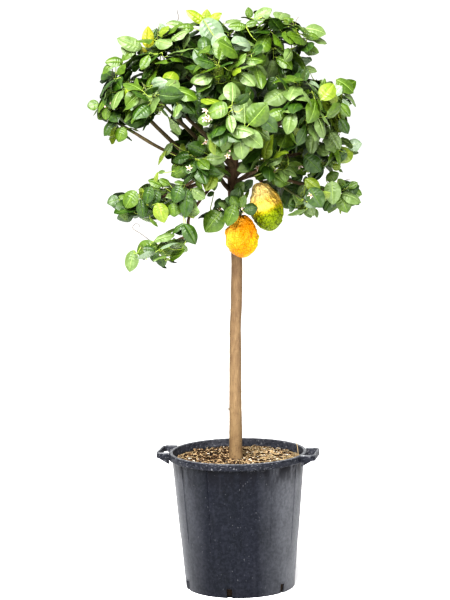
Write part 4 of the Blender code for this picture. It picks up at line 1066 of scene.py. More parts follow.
def leaf_points(leaf, u, v, lift):
    """Points of a leaf, u along it and v across, as shares of its length. lift raises them off it."""
    across = leaf.face.cross(leaf.along)
    across, face, along = np.array(across), np.array(leaf.face), np.array(leaf.along)
    turn = (leaf.twist * u)[..., None]
    side = np.cos(turn) * across + np.sin(turn) * face
    top = np.cos(turn) * face - np.sin(turn) * across
    rise = lift - leaf.droop * u ** 2 - leaf.fold * np.abs(v) ** 1.5 * np.sin(np.pi * np.clip(u, 0, 0.96))
    run = u - LEAF_FORESHORTENING * leaf.droop ** 2 * u ** 3
    flat = along * run[..., None] + side * v[..., None] + top * rise[..., None]
    return np.array(leaf.root) + leaf.length * flat


def leaf_width(leaf, t):
    """The half width at a share of the length: a broad oval, blunt at both ends."""
    t = np.clip(t, 0, 1)
    blunt = LEAF_BLUNTNESS + LEAF_BLUNTNESS_VARIES * leaf.ripple
    oval = np.clip(np.sin(np.pi * t ** blunt), LEAF_NARROWEST, 1)
    return leaf.width * oval ** (LEAF_FULLNESS + LEAF_FULLNESS_TO_TIP * t)


def leaf_outline(leaf):
    """A few points round a leaf and along its midrib, to test it by, and the faces between them."""
    u = np.array(LEAF_OUTLINE_AT)
    wide = leaf_width(leaf, u)
    wide[[0, -1]] = 0
    v = np.stack([-wide, np.zeros(len(u)), wide], axis=1)
    lift = np.array([0, LEAF_BULGE, 0])
    points = leaf_points(leaf, np.repeat(u[:, None], 3, axis=1), v, lift[None, :] * np.ones((len(u), 1)))
    return points.reshape(-1, 3), grid_faces(len(u), 3, False)


def leaf_grid():
    """The grid that each leaf is laid on: share of length at the margin, at the midrib, and across."""
    share = np.arange(LEAF_ROWS + 1) / LEAF_ROWS
    columns = np.array([-c for c in LEAF_COLUMNS[:0:-1]] + list(LEAF_COLUMNS))
    margin = np.repeat(share[:, None], len(columns), axis=1)
    midrib = margin - LEAF_VEIN_SLANT * np.sin(np.pi * margin)
    across = np.repeat(columns[None, :], LEAF_ROWS + 1, axis=0)
    return margin, midrib, across


# The grid, its faces, and 1 for each face beside the midrib.
MARGIN, MIDRIB, ACROSS = leaf_grid()
LEAF_FACES = grid_faces(LEAF_ROWS + 1, 2 * len(LEAF_COLUMNS) - 1, False)
RIB_FACES = np.tile(np.abs(np.arange(2 * len(LEAF_COLUMNS) - 2) - (len(LEAF_COLUMNS) - 1.5)) < 1,
                    LEAF_ROWS).astype(int)


def leaf_mesh(leaf):
    """A leaf's own corners: rows lie along its side veins, and every other row swells up between them."""
    out = np.abs(ACROSS)
    u = MIDRIB + (MARGIN - MIDRIB) * out
    v = ACROSS * leaf_width(leaf, MARGIN)
    swell = np.where(np.arange(LEAF_ROWS + 1) % 2, 1.0, -1.0)[:, None] * np.sin(np.pi * out ** 0.8)
    ends = np.sin(np.pi * MARGIN) ** 0.5
    lift = LEAF_BULGE * np.sin(np.pi * out ** 0.75) * ends + LEAF_PUCKER * swell * ends
    waves = 2 * np.pi * (LEAF_EDGE_WAVES * MARGIN + leaf.ripple)
    lift += LEAF_RIPPLE * out ** 4 * np.sin(waves + np.sign(ACROSS))
    return leaf_points(leaf, u, v, lift)


def aim_leaf(draw, root, tangent, side, out, attempt, tint):
    """A leaf that leaves its twig sideways, turns its face up and outwards and hangs at the tip."""
    stray = LEAF_STRAY + STRAY_PER_ATTEMPT * attempt
    along = tangent * LEAF_ALONG_TWIG + side * draw.uniform(*LEAF_SIDEWAYS)
    along += out * LEAF_OUTWARD - UP * draw.uniform(*LEAF_DOWNWARD)
    along = (along + strayed(draw, stray)).normalized()
    face = UP * FACE_UPWARD + out * FACE_OUTWARD
    face += strayed(draw, FACE_STRAY + stray)
    face = (face - along * face.dot(along)).normalized()
    length = draw.uniform(*LEAF_LENGTHS) * (1 - SHORTER_PER_ATTEMPT * attempt)
    return Leaf(root + along * (PETIOLE_LENGTH * length), along, face, length, draw.uniform(*LEAF_WIDTHS),
                draw.uniform(*LEAF_DROOPS), draw.uniform(*LEAF_FOLDS), draw.uniform(*LEAF_TWISTS),
                draw.random(), tint)


def spread_ways(draw, out, count, spread):
    """Directions spread evenly round the way out of the crown, a few of them sideways and back."""
    across, other = square_to(out)
    start = draw.uniform(0, 2 * math.pi)
    ways = []
    for index in range(count):
        rise = 1 - spread * (index + FIRST_WAY) / count
        flat = math.sqrt(max(0.0, 1 - rise * rise))
        way = out * rise + flat * spoke(start + index * LEAF_TURN, across, other)
        ways.append((way + strayed(draw, TWIG_STRAY)).normalized())
    return ways


def plan_twig(mass, stem, way, index, space, out):
    """A twig from the stem towards the outside of the mass, short of it by most of a leaf."""
    spot = (TWIG_FIRST_PLACE + TWIG_PLACES * (1 - index / mass.twigs)) * (len(stem) - 1)
    low = min(int(spot), len(stem) - 2)
    start = stem[low].lerp(stem[low + 1], spot - low)
    short = TWIG_SHORT_OF_EDGE * (1 - TWIG_LONGER_UPWARDS * max(0.0, way.z))
    end = Vector(mass.middle) + way * max(TWIG_SHORTEST, space.distance(way) - short)
    bow = out * TWIG_BOW_OUT - UP * TWIG_BOW_DOWN
    bow *= min(1.0, (end - start).length / TWIG_FULL_BOW_LENGTH)
    return smooth_path([start, start.lerp(end, 0.5) + bow, end], TWIG_STEPS)


def beyond_start(paths):
    """The points of twigs that a finer one may leave from: all but each twig's first two."""
    return [point for path in paths for point in path[2:]]


def plan_shoot(draw, mass, way, twigs, space):
    """A finer twig: it leaves the nearest twig and runs to its own place, often near the edge."""
    depth = draw.uniform(*SHOOT_DEPTHS) ** SHOOTS_OUTWARDS
    reach = max(SHOOT_SHORTEST, (space.distance(way) - SHOOT_SHORT_OF_EDGE) * depth)
    end = Vector(mass.middle) + way * reach
    start = nearest(beyond_start(twigs), end)
    if (end - start).length < SHOOT_SHORTEST:
        return None
    return smooth_path([start, start.lerp(end, 0.5) - UP * SHOOT_RISE, end], SHOOT_STEPS)


def leaf_node(draw, twig, number, count):
    """Where a leaf leaves its twig: the end first, then by turns down the twig."""
    spot = (LEAF_FIRST_SPOT - LEAF_SPOTS * number / count) * (len(twig) - 1)
    low = min(int(spot), len(twig) - 2)
    tangent = (twig[low + 1] - twig[low]).normalized()
    turn = number * LEAF_TURN + draw.uniform(-LEAF_TURN_STRAY, LEAF_TURN_STRAY)
    side = spoke(turn, *square_to(tangent))
    if number == 0:
        side = (side * END_LEAF_SIDEWAYS + tangent).normalized()
    return twig[low].lerp(twig[low + 1], spot - low), tangent, side


# Colours of leaves. The first ones are dealt out by shoot: how often each comes up outside and deep inside
# the crown, and how much the shade under its middle counts as inside. So the darker greens inside the crown
# and below its middle are painted shade, and the pale sheen comes up only outside.
TINTS = ("deep", "mid", "light", "lime", "pale", "sprig", "yellow", "cream", "bluish")
TINTS_OUTSIDE = (0.19, 0.40, 0.27, 0.06, 0.08)
TINTS_INSIDE = (0.55, 0.32, 0.10, 0.03, 0.0)
INSIDE_DEPTH = 0.6
CROWN_REACH = 0.36
SHADED_BELOW = 0.75
SHADE_HEIGHT = 0.20

# Greens that one leaf may vary between, and how often it is lighter or darker than its shoot: for
# young leaves, near the shoot's end, and for old ones.
GREENS = 4
YOUNG_LEAVES = 2
LIGHTER_YOUNG, LIGHTER_OLD = 0.35, 0.12
DARKER_YOUNG, DARKER_OLD = 0.15, 0.45


class Plant:
    """Everything that grows on the limbs: twigs, shoots, leaves and their stalks."""

    def __init__(self, limbs, box):
        self.limbs = limbs
        self.lowest, self.highest = (np.array(corner) for corner in box)
        self.obstacles = Limbs(limbs)
        self.twigs = []
        self.shoots = []
        self.leaves = []
        self.stalks = []
        # Roots of leaves that no twig carries yet, and each standing leaf's outline and middle.
        self.loose = []
        self.blades = []
        self.middles = np.empty((0, 3))

    def stand(self, leaf, outline, faces):
        """Adds a leaf's outline to those that stand, if it crosses none of them. True if it is added."""
        blade = BVHTree.FromPolygons([tuple(point) for point in outline], faces.tolist())
        middle = outline.mean(axis=0)
        if len(self.middles):
            near = np.nonzero(np.linalg.norm(self.middles - middle, axis=1) < NEAR_LEAF * leaf.length)[0]
            if any(blade.overlap(self.blades[index]) for index in near):
                return False
        self.middles = np.vstack([self.middles, middle])
        self.blades.append(blade)
        return True

    def place_seen(self):
        """The leaves that the photograph shows one by one, before the rest grow round them."""
        for number, (tint, root, tip, depth, face, width, droop, fold) in enumerate(LEAVES_SEEN):
            root = behind_pixel(root, depth)
            run = behind_pixel(tip, depth) - root
            chord = run.normalized()
            face = Vector(face)
            face = (face - chord * face.dot(chord)).normalized()
            spread = 1 - LEAF_FORESHORTENING * droop ** 2
            turn = math.atan2(droop, spread)
            along = chord * math.cos(turn) + face * math.sin(turn)
            face = face * math.cos(turn) - chord * math.sin(turn)
            length = run.length / math.hypot(droop, spread)
            ripple = (number * SEEN_RIPPLE_STEP) % 1
            leaf = Leaf(root, along, face, length, width, droop, fold, SEEN_TWIST, ripple,
                        TINTS.index(tint))
            self.stand(leaf, *leaf_outline(leaf))
            self.leaves.append(leaf)
            self.loose.append(root)

    def carriers(self):
        """The points of twigs and shoots that a stalk or a thread may leave from."""
        return beyond_start(self.twigs + self.shoots)

    def join_seen(self):
        """A shoot to each of those leaves from the nearest twig."""
        carriers = self.carriers()
        for root in self.loose:
            start = nearest(carriers, root)
            bend = start.lerp(root, 0.5) - UP * SHOOT_TO_SEEN_RISE
            self.shoots.append(smooth_path([start, bend, root], SHOOT_STEPS))

    def grow(self, mass):
        """The seeded rule for one mass: twigs on the stem, shoots on the twigs, leaves on both."""
        draw = random.Random(f"{mass.name} {mass.seed}")
        space = Space(mass)
        own = "stem_" + mass.name
        out = outward(mass)
        stem, _ = self.limbs[own]
        planned = [plan_twig(mass, stem, way, index, space, out)
                   for index, way in enumerate(spread_ways(draw, out, mass.twigs, TWIG_SPREAD))]
        twigs = [twig for twig in planned if fits(twig, space, self.obstacles, own)]
        shoots = []
        count = round((SHOOTS_BEHIND if space.middle[1] > BEHIND else SHOOTS_PER_TWIG) * mass.twigs)
        for way in spread_ways(draw, out, count, SHOOT_SPREAD):
            shoot = plan_shoot(draw, mass, way, twigs or [stem], space)
            if shoot and fits(shoot, space, self.obstacles, own):
                shoots.append(shoot)
        self.twigs += twigs
        self.shoots += shoots
        bearers = [(shoot, LEAVES_PER_SHOOT) for shoot in shoots]
        bearers += [(twig, LEAVES_PER_TWIG) for twig in twigs]
        tints = [self.deal(draw, bearer[-1]) for bearer, _ in bearers]
        for number in range(max(LEAVES_PER_SHOOT, LEAVES_PER_TWIG)):
            for (bearer, count), tint in zip(bearers, tints):
                if number < count:
                    shade = self.vary(draw, tint, number)
                    self.add_leaf(draw, bearer, number, count, shade, out, space, own)

    def deal(self, draw, tip):
        """The colour of one shoot's leaves: darker greens deep in the crown and below its middle, as
        painted shade.
        """
        gone = (tip - HEART).length / CROWN_REACH
        share = min(1.0, max(0.0, gone * (1 + INSIDE_DEPTH) - INSIDE_DEPTH))
        share *= 1 - SHADED_BELOW * min(1.0, max(0.0, (HEART.z - tip.z) / SHADE_HEIGHT))
        weights = [a * share + b * (1 - share) for a, b in zip(TINTS_OUTSIDE, TINTS_INSIDE)]
        return draw.choices(range(len(weights)), weights)[0]

    def vary(self, draw, tint, number):
        """The colour of one leaf: young leaves at the end are lighter, old ones darker."""
        young = number < YOUNG_LEAVES
        lighter = draw.random() < (LIGHTER_YOUNG if young else LIGHTER_OLD)
        darker = draw.random() < (DARKER_YOUNG if young else DARKER_OLD)
        return max(0, min(GREENS - 1, tint + lighter - darker)) if tint < GREENS else tint

    def add_leaf(self, draw, bearer, number, count, tint, out, space, own):
        """One leaf and its stalk, where there is room for it."""
        for attempt in range(LEAF_ATTEMPTS):
            root, tangent, side = leaf_node(draw, bearer, number, count)
            away = (out + (root - HEART).normalized()).normalized()
            leaf = aim_leaf(draw, root, tangent, side, away, attempt, tint)
            outline, faces = leaf_outline(leaf)
            if (outline < self.lowest + LIMB_MARGIN).any() or (outline > self.highest - LIMB_MARGIN).any():
                continue
            if not fits(outline, space, self.obstacles, own, ROOM_OVERLAP):
                continue
            if self.stand(leaf, outline, faces):
                self.leaves.append(leaf)
                self.stalks.append((root, leaf))
                return


def stage_set():
    """Floor, world, lights and camera."""
    make_floor()
    world = bpy.data.worlds.new("studio")
    bpy.context.scene.world = world
    world.use_nodes = True
    background = world.node_tree.nodes["Background"]
    background.inputs["Color"].default_value = grey(1.0)
    background.inputs["Strength"].default_value = STUDIO_SKY
    for name, (at, size, power) in STUDIO_LIGHTS.items():
        add_light(name, at, size, power)
    make_camera()
    bpy.context.scene.view_settings.view_transform = "Standard"
    bpy.context.scene.view_settings.look = "High Contrast"


def make_floor():
    """A wide white floor with a faint speckle."""
    surface = Surface("studio_floor")
    speckle = surface.ramp(surface.noise(40, 2), (0.3, 0.94), (0.7, 0.96))
    surface.shade(speckle, 0.9, Specular_IOR_Level=0.1)
    floor = Pile()
    half = STUDIO_HALF
    square = [(-half, -half, 0), (half, -half, 0), (half, half, 0), (-half, half, 0)]
    floor.add(square, np.array([[0, 1, 2, 3]]))
    floor.build("floor", [surface], smooth=False)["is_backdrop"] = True


def make_camera():
    """The camera, where the photograph was taken from."""
    lens = bpy.data.cameras.new("camera")
    lens.lens = CAMERA_LENS
    lens.sensor_width = SENSOR
    lens.clip_end = CAMERA_CLIP
    camera = add_object("camera", lens)
    camera.matrix_world = Matrix.Translation(CAMERA_AT) @ CAMERA_TURN.to_4x4()
    bpy.context.scene.camera = camera


def add_light(name, at, size, power):
    """A soft square light that faces the crown."""
    lamp = bpy.data.lights.new(name, "AREA")
    lamp.shape = "SQUARE"
    lamp.size = size
    lamp.energy = power
    made = add_object(name, lamp)
    made.location = at
    made.rotation_mode = "QUATERNION"
    made.rotation_quaternion = (HEART - Vector(at)).to_track_quat("-Z", "Y")


# Barks: the heights between which the colour changes, pairs of tones at the base and at the top, the
# dark of grain and marks, and how the change goes with height.
Bark = namedtuple("Bark", "low high base top dark darkening")
BARKS = {
    "trunk_bark": Bark(0.36, 1.12, ((0.122, 0.077, 0.036), (0.165, 0.112, 0.055)),
                       ((0.062, 0.034, 0.017), (0.098, 0.060, 0.030)), (0.050, 0.030, 0.015),
                       ((0.0, 0.0), (0.40, 0.42), (0.80, 0.50), (1.0, 1.0))),
    "cut_stub": Bark(0, 1, ((0.10, 0.085, 0.06), (0.17, 0.14, 0.10)),
                     ((0.10, 0.085, 0.06), (0.17, 0.14, 0.10)), (0.03, 0.022, 0.015),
                     ((0.0, 0.0), (1.0, 1.0))),
    "bough_bark": Bark(1.10, 1.40, ((0.048, 0.028, 0.013), (0.085, 0.054, 0.024)),
                       ((0.040, 0.034, 0.013), (0.074, 0.068, 0.023)), (0.020, 0.013, 0.006),
                       ((0.0, 0.0), (1.0, 1.0))),
}


def bark_surface(name):
    """Fine-grained young bark, with upright grain and small dark marks."""
    bark = BARKS[name]
    made = Surface(name)
    grain = made.noise(420, 4, (1, 1, 0.16))
    mottle = made.noise(70, 3, (1, 1, 0.5))
    marks = made.ramp(made.noise(300, 2, (0.55, 0.55, 1.4)), (0.30, 1.0), (0.36, 0.0))
    base, top = (made.ramp(mottle, (0.32, pair[0]), (0.68, pair[1])) for pair in (bark.base, bark.top))
    colour = made.mix(made.ramp(made.rising("Z", bark.low, bark.high), *bark.darkening), base, top)
    colour = made.mix(made.ramp(grain, (0.35, 0.30), (0.65, 0.0)), colour, bark.dark)
    colour = made.mix(marks, colour, bark.dark)
    made.shade(colour, made.ramp(grain, (0.3, 0.86), (0.7, 0.66)), Specular_IOR_Level=0.35)
    return made.bump(grain, 0.0006, 0.8).bump(mottle, 0.0012, 0.5)


def trunk_relief(path):
    """How far the trunk's bark stands out, as rows by sides: its grain and its leaf scars."""
    turns = 2 * math.pi * np.arange(TRUNK_SIDES) / TRUNK_SIDES
    relief = np.empty((len(path), TRUNK_SIDES))
    for row, point in enumerate(path):
        for side, turn in enumerate(turns):
            spot = Vector((math.cos(turn), math.sin(turn), 0))
            relief[row, side] = sum(depth * noise.noise(spot * waves + UP * (point.z * rise + shift))
                                    for depth, waves, rise, shift in TRUNK_GRAIN)
    heights = np.array([point.z for point in path])
    for scar in range(SCAR_COUNT):
        off = heights - (SCAR_LOWEST + SCAR_SPACING * scar)
        gap = turns - (LEAF_TURN * scar + SCAR_FIRST_TURN)
        gap = (gap + math.pi) % (2 * math.pi) - math.pi
        relief += SCAR_DEPTH * np.exp(-(off[:, None] / SCAR_HEIGHT) ** 2 - (gap[None, :] / SCAR_WIDTH) ** 2)
    return relief


def make_trunk(path, radii):
    """The trunk with its upright grain, leaf scars and a cut stub on its left side."""
    pile = Pile()
    pile.add(*tube(path, radii, TRUNK_SIDES, trunk_relief(path)))
    root = Vector((knots(TRUNK_DRIFT, STUB_HEIGHT), TRUNK_Y, STUB_HEIGHT))
    radius = knots(TRUNK_RADIUS, STUB_HEIGHT)
    reaches = [radius * STUB_INSIDE] + [radius + proud for proud in STUB_PROUD]
    stub = [root + STUB_WAY * reach for reach in reaches]
    pile.add(*tube(stub, STUB_RADII, STUB_SIDES), kind=1)
    surfaces = [bark_surface("trunk_bark"), bark_surface("cut_stub")]
    return place(pile.build("trunk_bark", surfaces), "bark", "trunk")


def make_boughs(limbs):
    """The boughs with fine grain, and a collar where each leaves its parent."""
    depth, waves, rise, shift = BOUGH_GRAIN
    pile = Pile()
    for number, bough in enumerate(BOUGHS):
        path, radii = limbs[bough.name]
        gone = np.cumsum([0.0] + [(b - a).length for a, b in zip(path, path[1:])])
        relief = np.empty((len(path), BOUGH_SIDES))
        for row, run in enumerate(gone):
            for side in range(BOUGH_SIDES):
                turn = 2 * math.pi * side / BOUGH_SIDES
                spot = Vector((math.cos(turn), math.sin(turn), number * shift))
                relief[row, side] = depth * noise.noise(spot * waves + UP * (run * rise))
        radii = np.array(radii) * (1 + COLLAR * np.exp(-(gone / COLLAR_LENGTH) ** 2))
        pile.add(*tube(path, radii, BOUGH_SIDES, relief))
    made = pile.build("bough_bark", [bark_surface("bough_bark")])
    return place(made, "bough", *[bough.name for bough in BOUGHS])


# Twig barks: a darker and a lighter tone.
TWIG_TONES = {
    "twig_bark": ((0.031, 0.040, 0.009), (0.066, 0.074, 0.017)),
    "green_stalk": ((0.131, 0.188, 0.023), (0.211, 0.251, 0.040)),
    "dry_twig": ((0.050, 0.034, 0.018), (0.100, 0.074, 0.046)),
}


def twig_surface(name):
    """Smooth young bark: green brown, with streaks along it."""
    low, high = TWIG_TONES[name]
    made = Surface(name)
    colour = made.ramp(made.noise(160, 3), (0.35, low), (0.65, high))
    made.shade(colour, 0.55, Specular_IOR_Level=0.4)
    return made.bump(made.noise(700, 2), 0.0003, 0.6)


def make_twigs(plant, surface, stalk_surface, names):
    """Stems and twigs as one piece, and the green shoots with the leaves' stalks as another."""
    wood = Pile()
    for mass in MASSES:
        path, radii = plant.limbs["stem_" + mass.name]
        wood.add(*tube(path, radii, STEM_SIDES))
    for twig in plant.twigs:
        wood.add(*tube(twig, taper(TWIG_RADIUS, TWIG_TIP_RADIUS, TWIG_STEPS), TWIG_SIDES))
    for name, hung in CITRONS.items():
        stem, _ = plant.limbs["stem_" + name]
        wood.add(*tube(citron_stalk(stem, hung), taper(*CITRON_STALK_RADII, TWIG_STEPS), TWIG_SIDES))
    green = Pile()
    for shoot in plant.shoots:
        green.add(*tube(shoot, taper(SHOOT_RADIUS, SHOOT_TIP_RADIUS, SHOOT_STEPS), SHOOT_SIDES))
    radii = taper(PETIOLE_RADIUS * PETIOLE_SWELL, PETIOLE_RADIUS, PETIOLE_STEPS)
    for root, leaf in plant.stalks:
        end = leaf.root + leaf.along * PETIOLE_IN_LEAF
        bend = root.lerp(end, 0.5) + leaf.face * PETIOLE_BOW
        line = smooth_path([root - leaf.along * PETIOLE_IN_TWIG, bend, end], PETIOLE_STEPS)
        green.add(*tube(line, radii, PETIOLE_SIDES))
    place(wood.build("twigs", [surface]), "bough", *names)
    place(green.build("shoots", [stalk_surface]), "foliage", *names)


def leaf_surface(name, dark, light):
    """A glossy leaf's own green, mottled a little, with fine grain."""
    made = Surface(name)
    colour = made.ramp(made.noise(90, 2), (0.34, dark), (0.66, light))
    made.shade(colour, 0.45, Specular_IOR_Level=0.42)
    return made.bump(made.noise(420, 2), 0.0005, 0.4)


def rib_surface(name, colour):
    """The paler midrib of a leaf."""
    made = Surface(name)
    lighter = tuple(min(1.0, channel * 1.25) for channel in colour)
    made.shade(made.ramp(made.noise(200, 2), (0.4, colour), (0.6, lighter)), 0.42, Specular_IOR_Level=0.25)
    return made


# Leaf colours: the blade's darker and lighter green, and the midrib. The pale and bluish ones are painted
# sheen, the white sky's reflection on glossy leaves laid into their colour. The deep green is partly the
# darker green of old leaves and partly painted shade.
LEAF_COLOURS = {
    # Partly old leaves' own dark green, partly painted shade.
    "deep": ((0.010, 0.030, 0.001), (0.024, 0.054, 0.002), (0.055, 0.095, 0.013)),
    "mid": ((0.030, 0.061, 0.001), (0.055, 0.094, 0.005), (0.102, 0.150, 0.030)),
    "light": ((0.062, 0.098, 0.022), (0.092, 0.132, 0.044), (0.150, 0.195, 0.070)),
    "lime": ((0.080, 0.116, 0.006), (0.110, 0.148, 0.010), (0.180, 0.220, 0.045)),
    # Painted sheen.
    "pale": ((0.098, 0.136, 0.078), (0.134, 0.172, 0.114), (0.185, 0.225, 0.132)),
    "sprig": ((0.094, 0.130, 0.002), (0.130, 0.164, 0.004), (0.180, 0.205, 0.025)),
    "yellow": ((0.130, 0.140, 0.001), (0.170, 0.172, 0.003), (0.220, 0.210, 0.020)),
    "cream": ((0.235, 0.225, 0.110), (0.285, 0.270, 0.150), (0.300, 0.285, 0.165)),
    # Painted sheen.
    "bluish": ((0.074, 0.110, 0.058), (0.110, 0.150, 0.090), (0.150, 0.195, 0.115)),
}


def make_leaves(plant, names):
    """The leaves, joined by colour."""
    for tint, name in enumerate(TINTS):
        dark, light, rib = LEAF_COLOURS[name]
        pile = Pile()
        for leaf in plant.leaves:
            if leaf.tint == tint:
                pile.add(leaf_mesh(leaf), LEAF_FACES, RIB_FACES)
        if pile.count:
            surfaces = [leaf_surface("leaf_" + name, dark, light), rib_surface("midrib_" + name, rib)]
            place(pile.build("leaves_" + name, surfaces, crease=LEAF_CREASE), "foliage", *names)


def citron_stalk(stem, hung):
    """The path of the short stalk from a mass's stem down into the top of its citron."""
    root = stem[int(CITRON_STALK_FROM * (len(stem) - 1))]
    top = Vector(hung.middle) + Vector(hung.lean).normalized() * (hung.half_height - CITRON_STALK_SINK)
    return smooth_path([root, root.lerp(top, 0.5) + UP * TWIG_BOW_DOWN, top], TWIG_STEPS)


# Rinds: the citron's middle across, the heights between which it ripens, how ripe it is below them, how
# much less ripe its right side is, and the colours of its ripe rind, blotches, top and pits. The pale top
# is partly painted light, brightening a top that the leaves shade. The right citron's colours are partly
# its own creamier yellow and partly painted light, made lighter against the crown's shade on it.
Rind = namedtuple("Rind", "material middle low high ripe_below green_side yellow orange pale pit")
RINDS = {
    "citron_front": Rind("rind_front", 0.020, 0.922, 1.035, 0.76, 0.42, (0.335, 0.132, 0.001),
                         (0.335, 0.124, 0.001), (0.740, 0.460, 0.070), (0.320, 0.122, 0.001)),
    # Lighter than the front citron: partly its own cream, partly painted light against the crown's shade.
    "citron_right": Rind("rind_right", 0.090, 0.990, 1.084, 0.0, 0.32, (0.670, 0.450, 0.095),
                         (0.670, 0.410, 0.105), (0.820, 0.660, 0.320), (0.610, 0.360, 0.050)),
}
RIND_GREENS = ((0.10, (0.120, 0.160, 0.001)), (0.30, (0.190, 0.230, 0.001)), (0.44, (0.330, 0.280, 0.003)))
RIND_UNEVEN = 0.36
PIT_GREEN = (0.040, 0.056, 0.001)
PITS_PER_METRE = 185
PIT_DEPTH = 0.0018


def citron_surface(rind):
    """Waxy, pebbled rind that ripens from lime green to yellow with height, later on one side, and pales at
    the top, partly as painted light.
    """
    made = Surface(rind.material)
    left = rind.middle - CITRON_RADIUS
    across = made.math("DIVIDE", made.math("SUBTRACT", made.axis("X"), left), 2 * CITRON_RADIUS)
    ripe = made.times(made.rising("Z", rind.low, rind.high), 1 - rind.ripe_below)
    ripe = made.math("ADD", ripe, rind.ripe_below)
    ripe = made.math("SUBTRACT", ripe, made.times(across, rind.green_side))
    ripe = made.math("ADD", ripe, made.times(made.noise(30, 4), RIND_UNEVEN))
    ripe = made.math("SUBTRACT", ripe, RIND_UNEVEN / 2)
    colour = made.ramp(ripe, *RIND_GREENS, (0.54, rind.yellow), (0.72, rind.yellow), (1.0, rind.pale))
    blotch = made.ramp(made.noise(75, 4), (0.50, 0.0), (0.72, 0.5))
    ripened = made.times(blotch, made.ramp(ripe, (0.45, 0.0), (0.60, 1.0), (0.85, 0.3)))
    colour = made.mix(ripened, colour, rind.orange)
    pits = made.cells(PITS_PER_METRE)
    pitted = made.times(made.ramp(pits, (0.45, 0.0), (0.75, 1.0)),
                        made.ramp(ripe, (0.30, 0.85), (0.55, 0.28)))
    colour = made.mix(pitted, colour, made.ramp(ripe, (0.35, PIT_GREEN), (0.55, rind.pit)))
    made.shade(colour, made.ramp(pits, (0.2, 0.36), (0.8, 0.52)), Specular_IOR_Level=0.12)
    return made.bump(made.ramp(pits, (0.10, 1.0), (0.80, 0.0)), PIT_DEPTH)


def citron_radius(up):
    """The half width of a citron at a share of its height, -1 to 1: a pear with a blunt end."""
    neck = max(0.0, min(1.0, (up - NECK_FROM) / (NECK_TO - NECK_FROM)))
    narrow = 1 - NECK_NARROWER * neck * neck * (3 - 2 * neck)
    blunt = CITRON_BLUNT - CITRON_BLUNTER_TOP * max(0.0, min(1.0, up / 0.5))
    bulge = 1 - CITRON_LOW_BULGE * up
    return CITRON_RADIUS * (1 - up * up) ** blunt * bulge * narrow * CITRON_WIDER


def citron_relief(turn, up, girth, number):
    """The ridge and the height of the knobs at a spot of the rind: lumps in upright rows."""
    rise = RIND_LONGER * up + RIND_SHIFT * number
    spot = Vector((math.cos(turn) * girth, math.sin(turn) * girth, rise))
    sway = RIDGE_SWAY * noise.noise(spot * RIDGE_SWAY_WAVES)
    ridge = math.cos(turn * (RIDGE_COUNT + number) + sway + up)
    knob = RIDGE_DEPTH * ridge * (RIDGE_LOW_DOWN + (1 - RIDGE_LOW_DOWN) * max(0.0, up))
    lumps = Vector((spot.x * LUMPS_ROUND, spot.y * LUMPS_ROUND, spot.z * LUMPS_UP))
    knob += LUMP_DEPTH * noise.noise(lumps)
    return ridge, knob + SWELL_DEPTH * noise.noise(spot * SWELL_WAVES)


def make_citron(name, number, surface):
    """A knobbly citron: lumps in upright rows, a ridged neck round the stalk and a blunt nipple."""
    hung = CITRONS[name]
    lean = Vector(hung.lean).normalized()
    across, other = square_to(lean)
    rings = np.empty((CITRON_RINGS + 1, CITRON_SIDES, 3))
    for row in range(CITRON_RINGS + 1):
        up = math.cos(math.pi * (CITRON_POLE + (1 - 2 * CITRON_POLE) * row / CITRON_RINGS))
        wide = citron_radius(up)
        girth = wide / CITRON_RADIUS
        neck = math.exp(-((1 - up) / NECK_RING) ** 2)
        nipple = math.exp(-((1 + up) / NIPPLE_RING) ** 2)
        bow = Vector((hung.bow, 0, 0)) * max(0.0, up) ** 2
        for side in range(CITRON_SIDES):
            turn = 2 * math.pi * side / CITRON_SIDES
            ridge, knob = citron_relief(turn, up, girth, number)
            reach = max(CITRON_THINNEST, wide + knob * min(1.0, KNOBS_FROM_POLE * girth))
            rise = hung.half_height * up - NIPPLE_DROP * nipple
            rise -= NECK_DROP * neck * (1 + RIDGE_IN_NECK * ridge)
            out = spoke(turn, across, other) * reach
            rings[row, side] = Vector(hung.middle) + lean * rise + out + bow
    corners, faces = closed_rings(rings, [rings[0].mean(axis=0), rings[-1].mean(axis=0)])
    pile = Pile()
    pile.add(corners, [group[:, ::-1] for group in faces])
    return place(pile.build(name + "_fruit", [surface]), "fruit", name)


# Blossom: tones of each material, and the forms of petals, stamens and buds as shares of the size.
PETAL_TONES = {
    "petal": ((0.317, 0.264, 0.238), (0.409, 0.356, 0.317)),
    "petal_flushed": ((0.317, 0.218, 0.185), (0.396, 0.310, 0.264)),
    "stamen_tips": ((0.330, 0.198, 0.040), (0.396, 0.277, 0.079)),
    "bud": ((0.304, 0.198, 0.172), (0.383, 0.290, 0.251)),
}
PETAL_COUNT = 5
PETAL_WIDTH = 0.46
PETAL_ROWS = 6
PETAL_LIFT = 0.6
PETAL_CUP = 0.0014
PETAL_LENGTHS = (0.9, 1.1)
PETAL_CURLS = (0.7, 1.2)
STAMEN_COUNT = 16
STAMEN_UP, STAMEN_OUT = 0.55, 0.16
STAMEN_BOW = 0.0004
STAMEN_RADII = (0.00035, 0.0003, 0.0003)
ANTHER_RADII = (0.0004, 0.0008, 0.0003)
ANTHER_STEP = 0.0007
BUD_FORM = ((0, 0.08), (0.12, 0.22), (0.35, 0.33), (0.65, 0.33), (0.9, 0.17), (1.0, 0.04))
BUD_SIDES = 10
BUD_SIZE = 0.9
BLOSSOM_IN_FRONT = 0.006
BLOSSOM_SPREAD = 0.009
BLOSSOM_SPREAD_VARIES = (0.7, 1.3)
BLOSSOM_STRAY = 0.35
BLOSSOM_UPWARD = 0.25
BLOSSOM_STALK = (0.0008, 0.0010)
BLOSSOM_STALK_SAG = 0.002
BLOSSOM_STALK_IN = 0.001
BLOSSOM_STALK_STEPS = 5


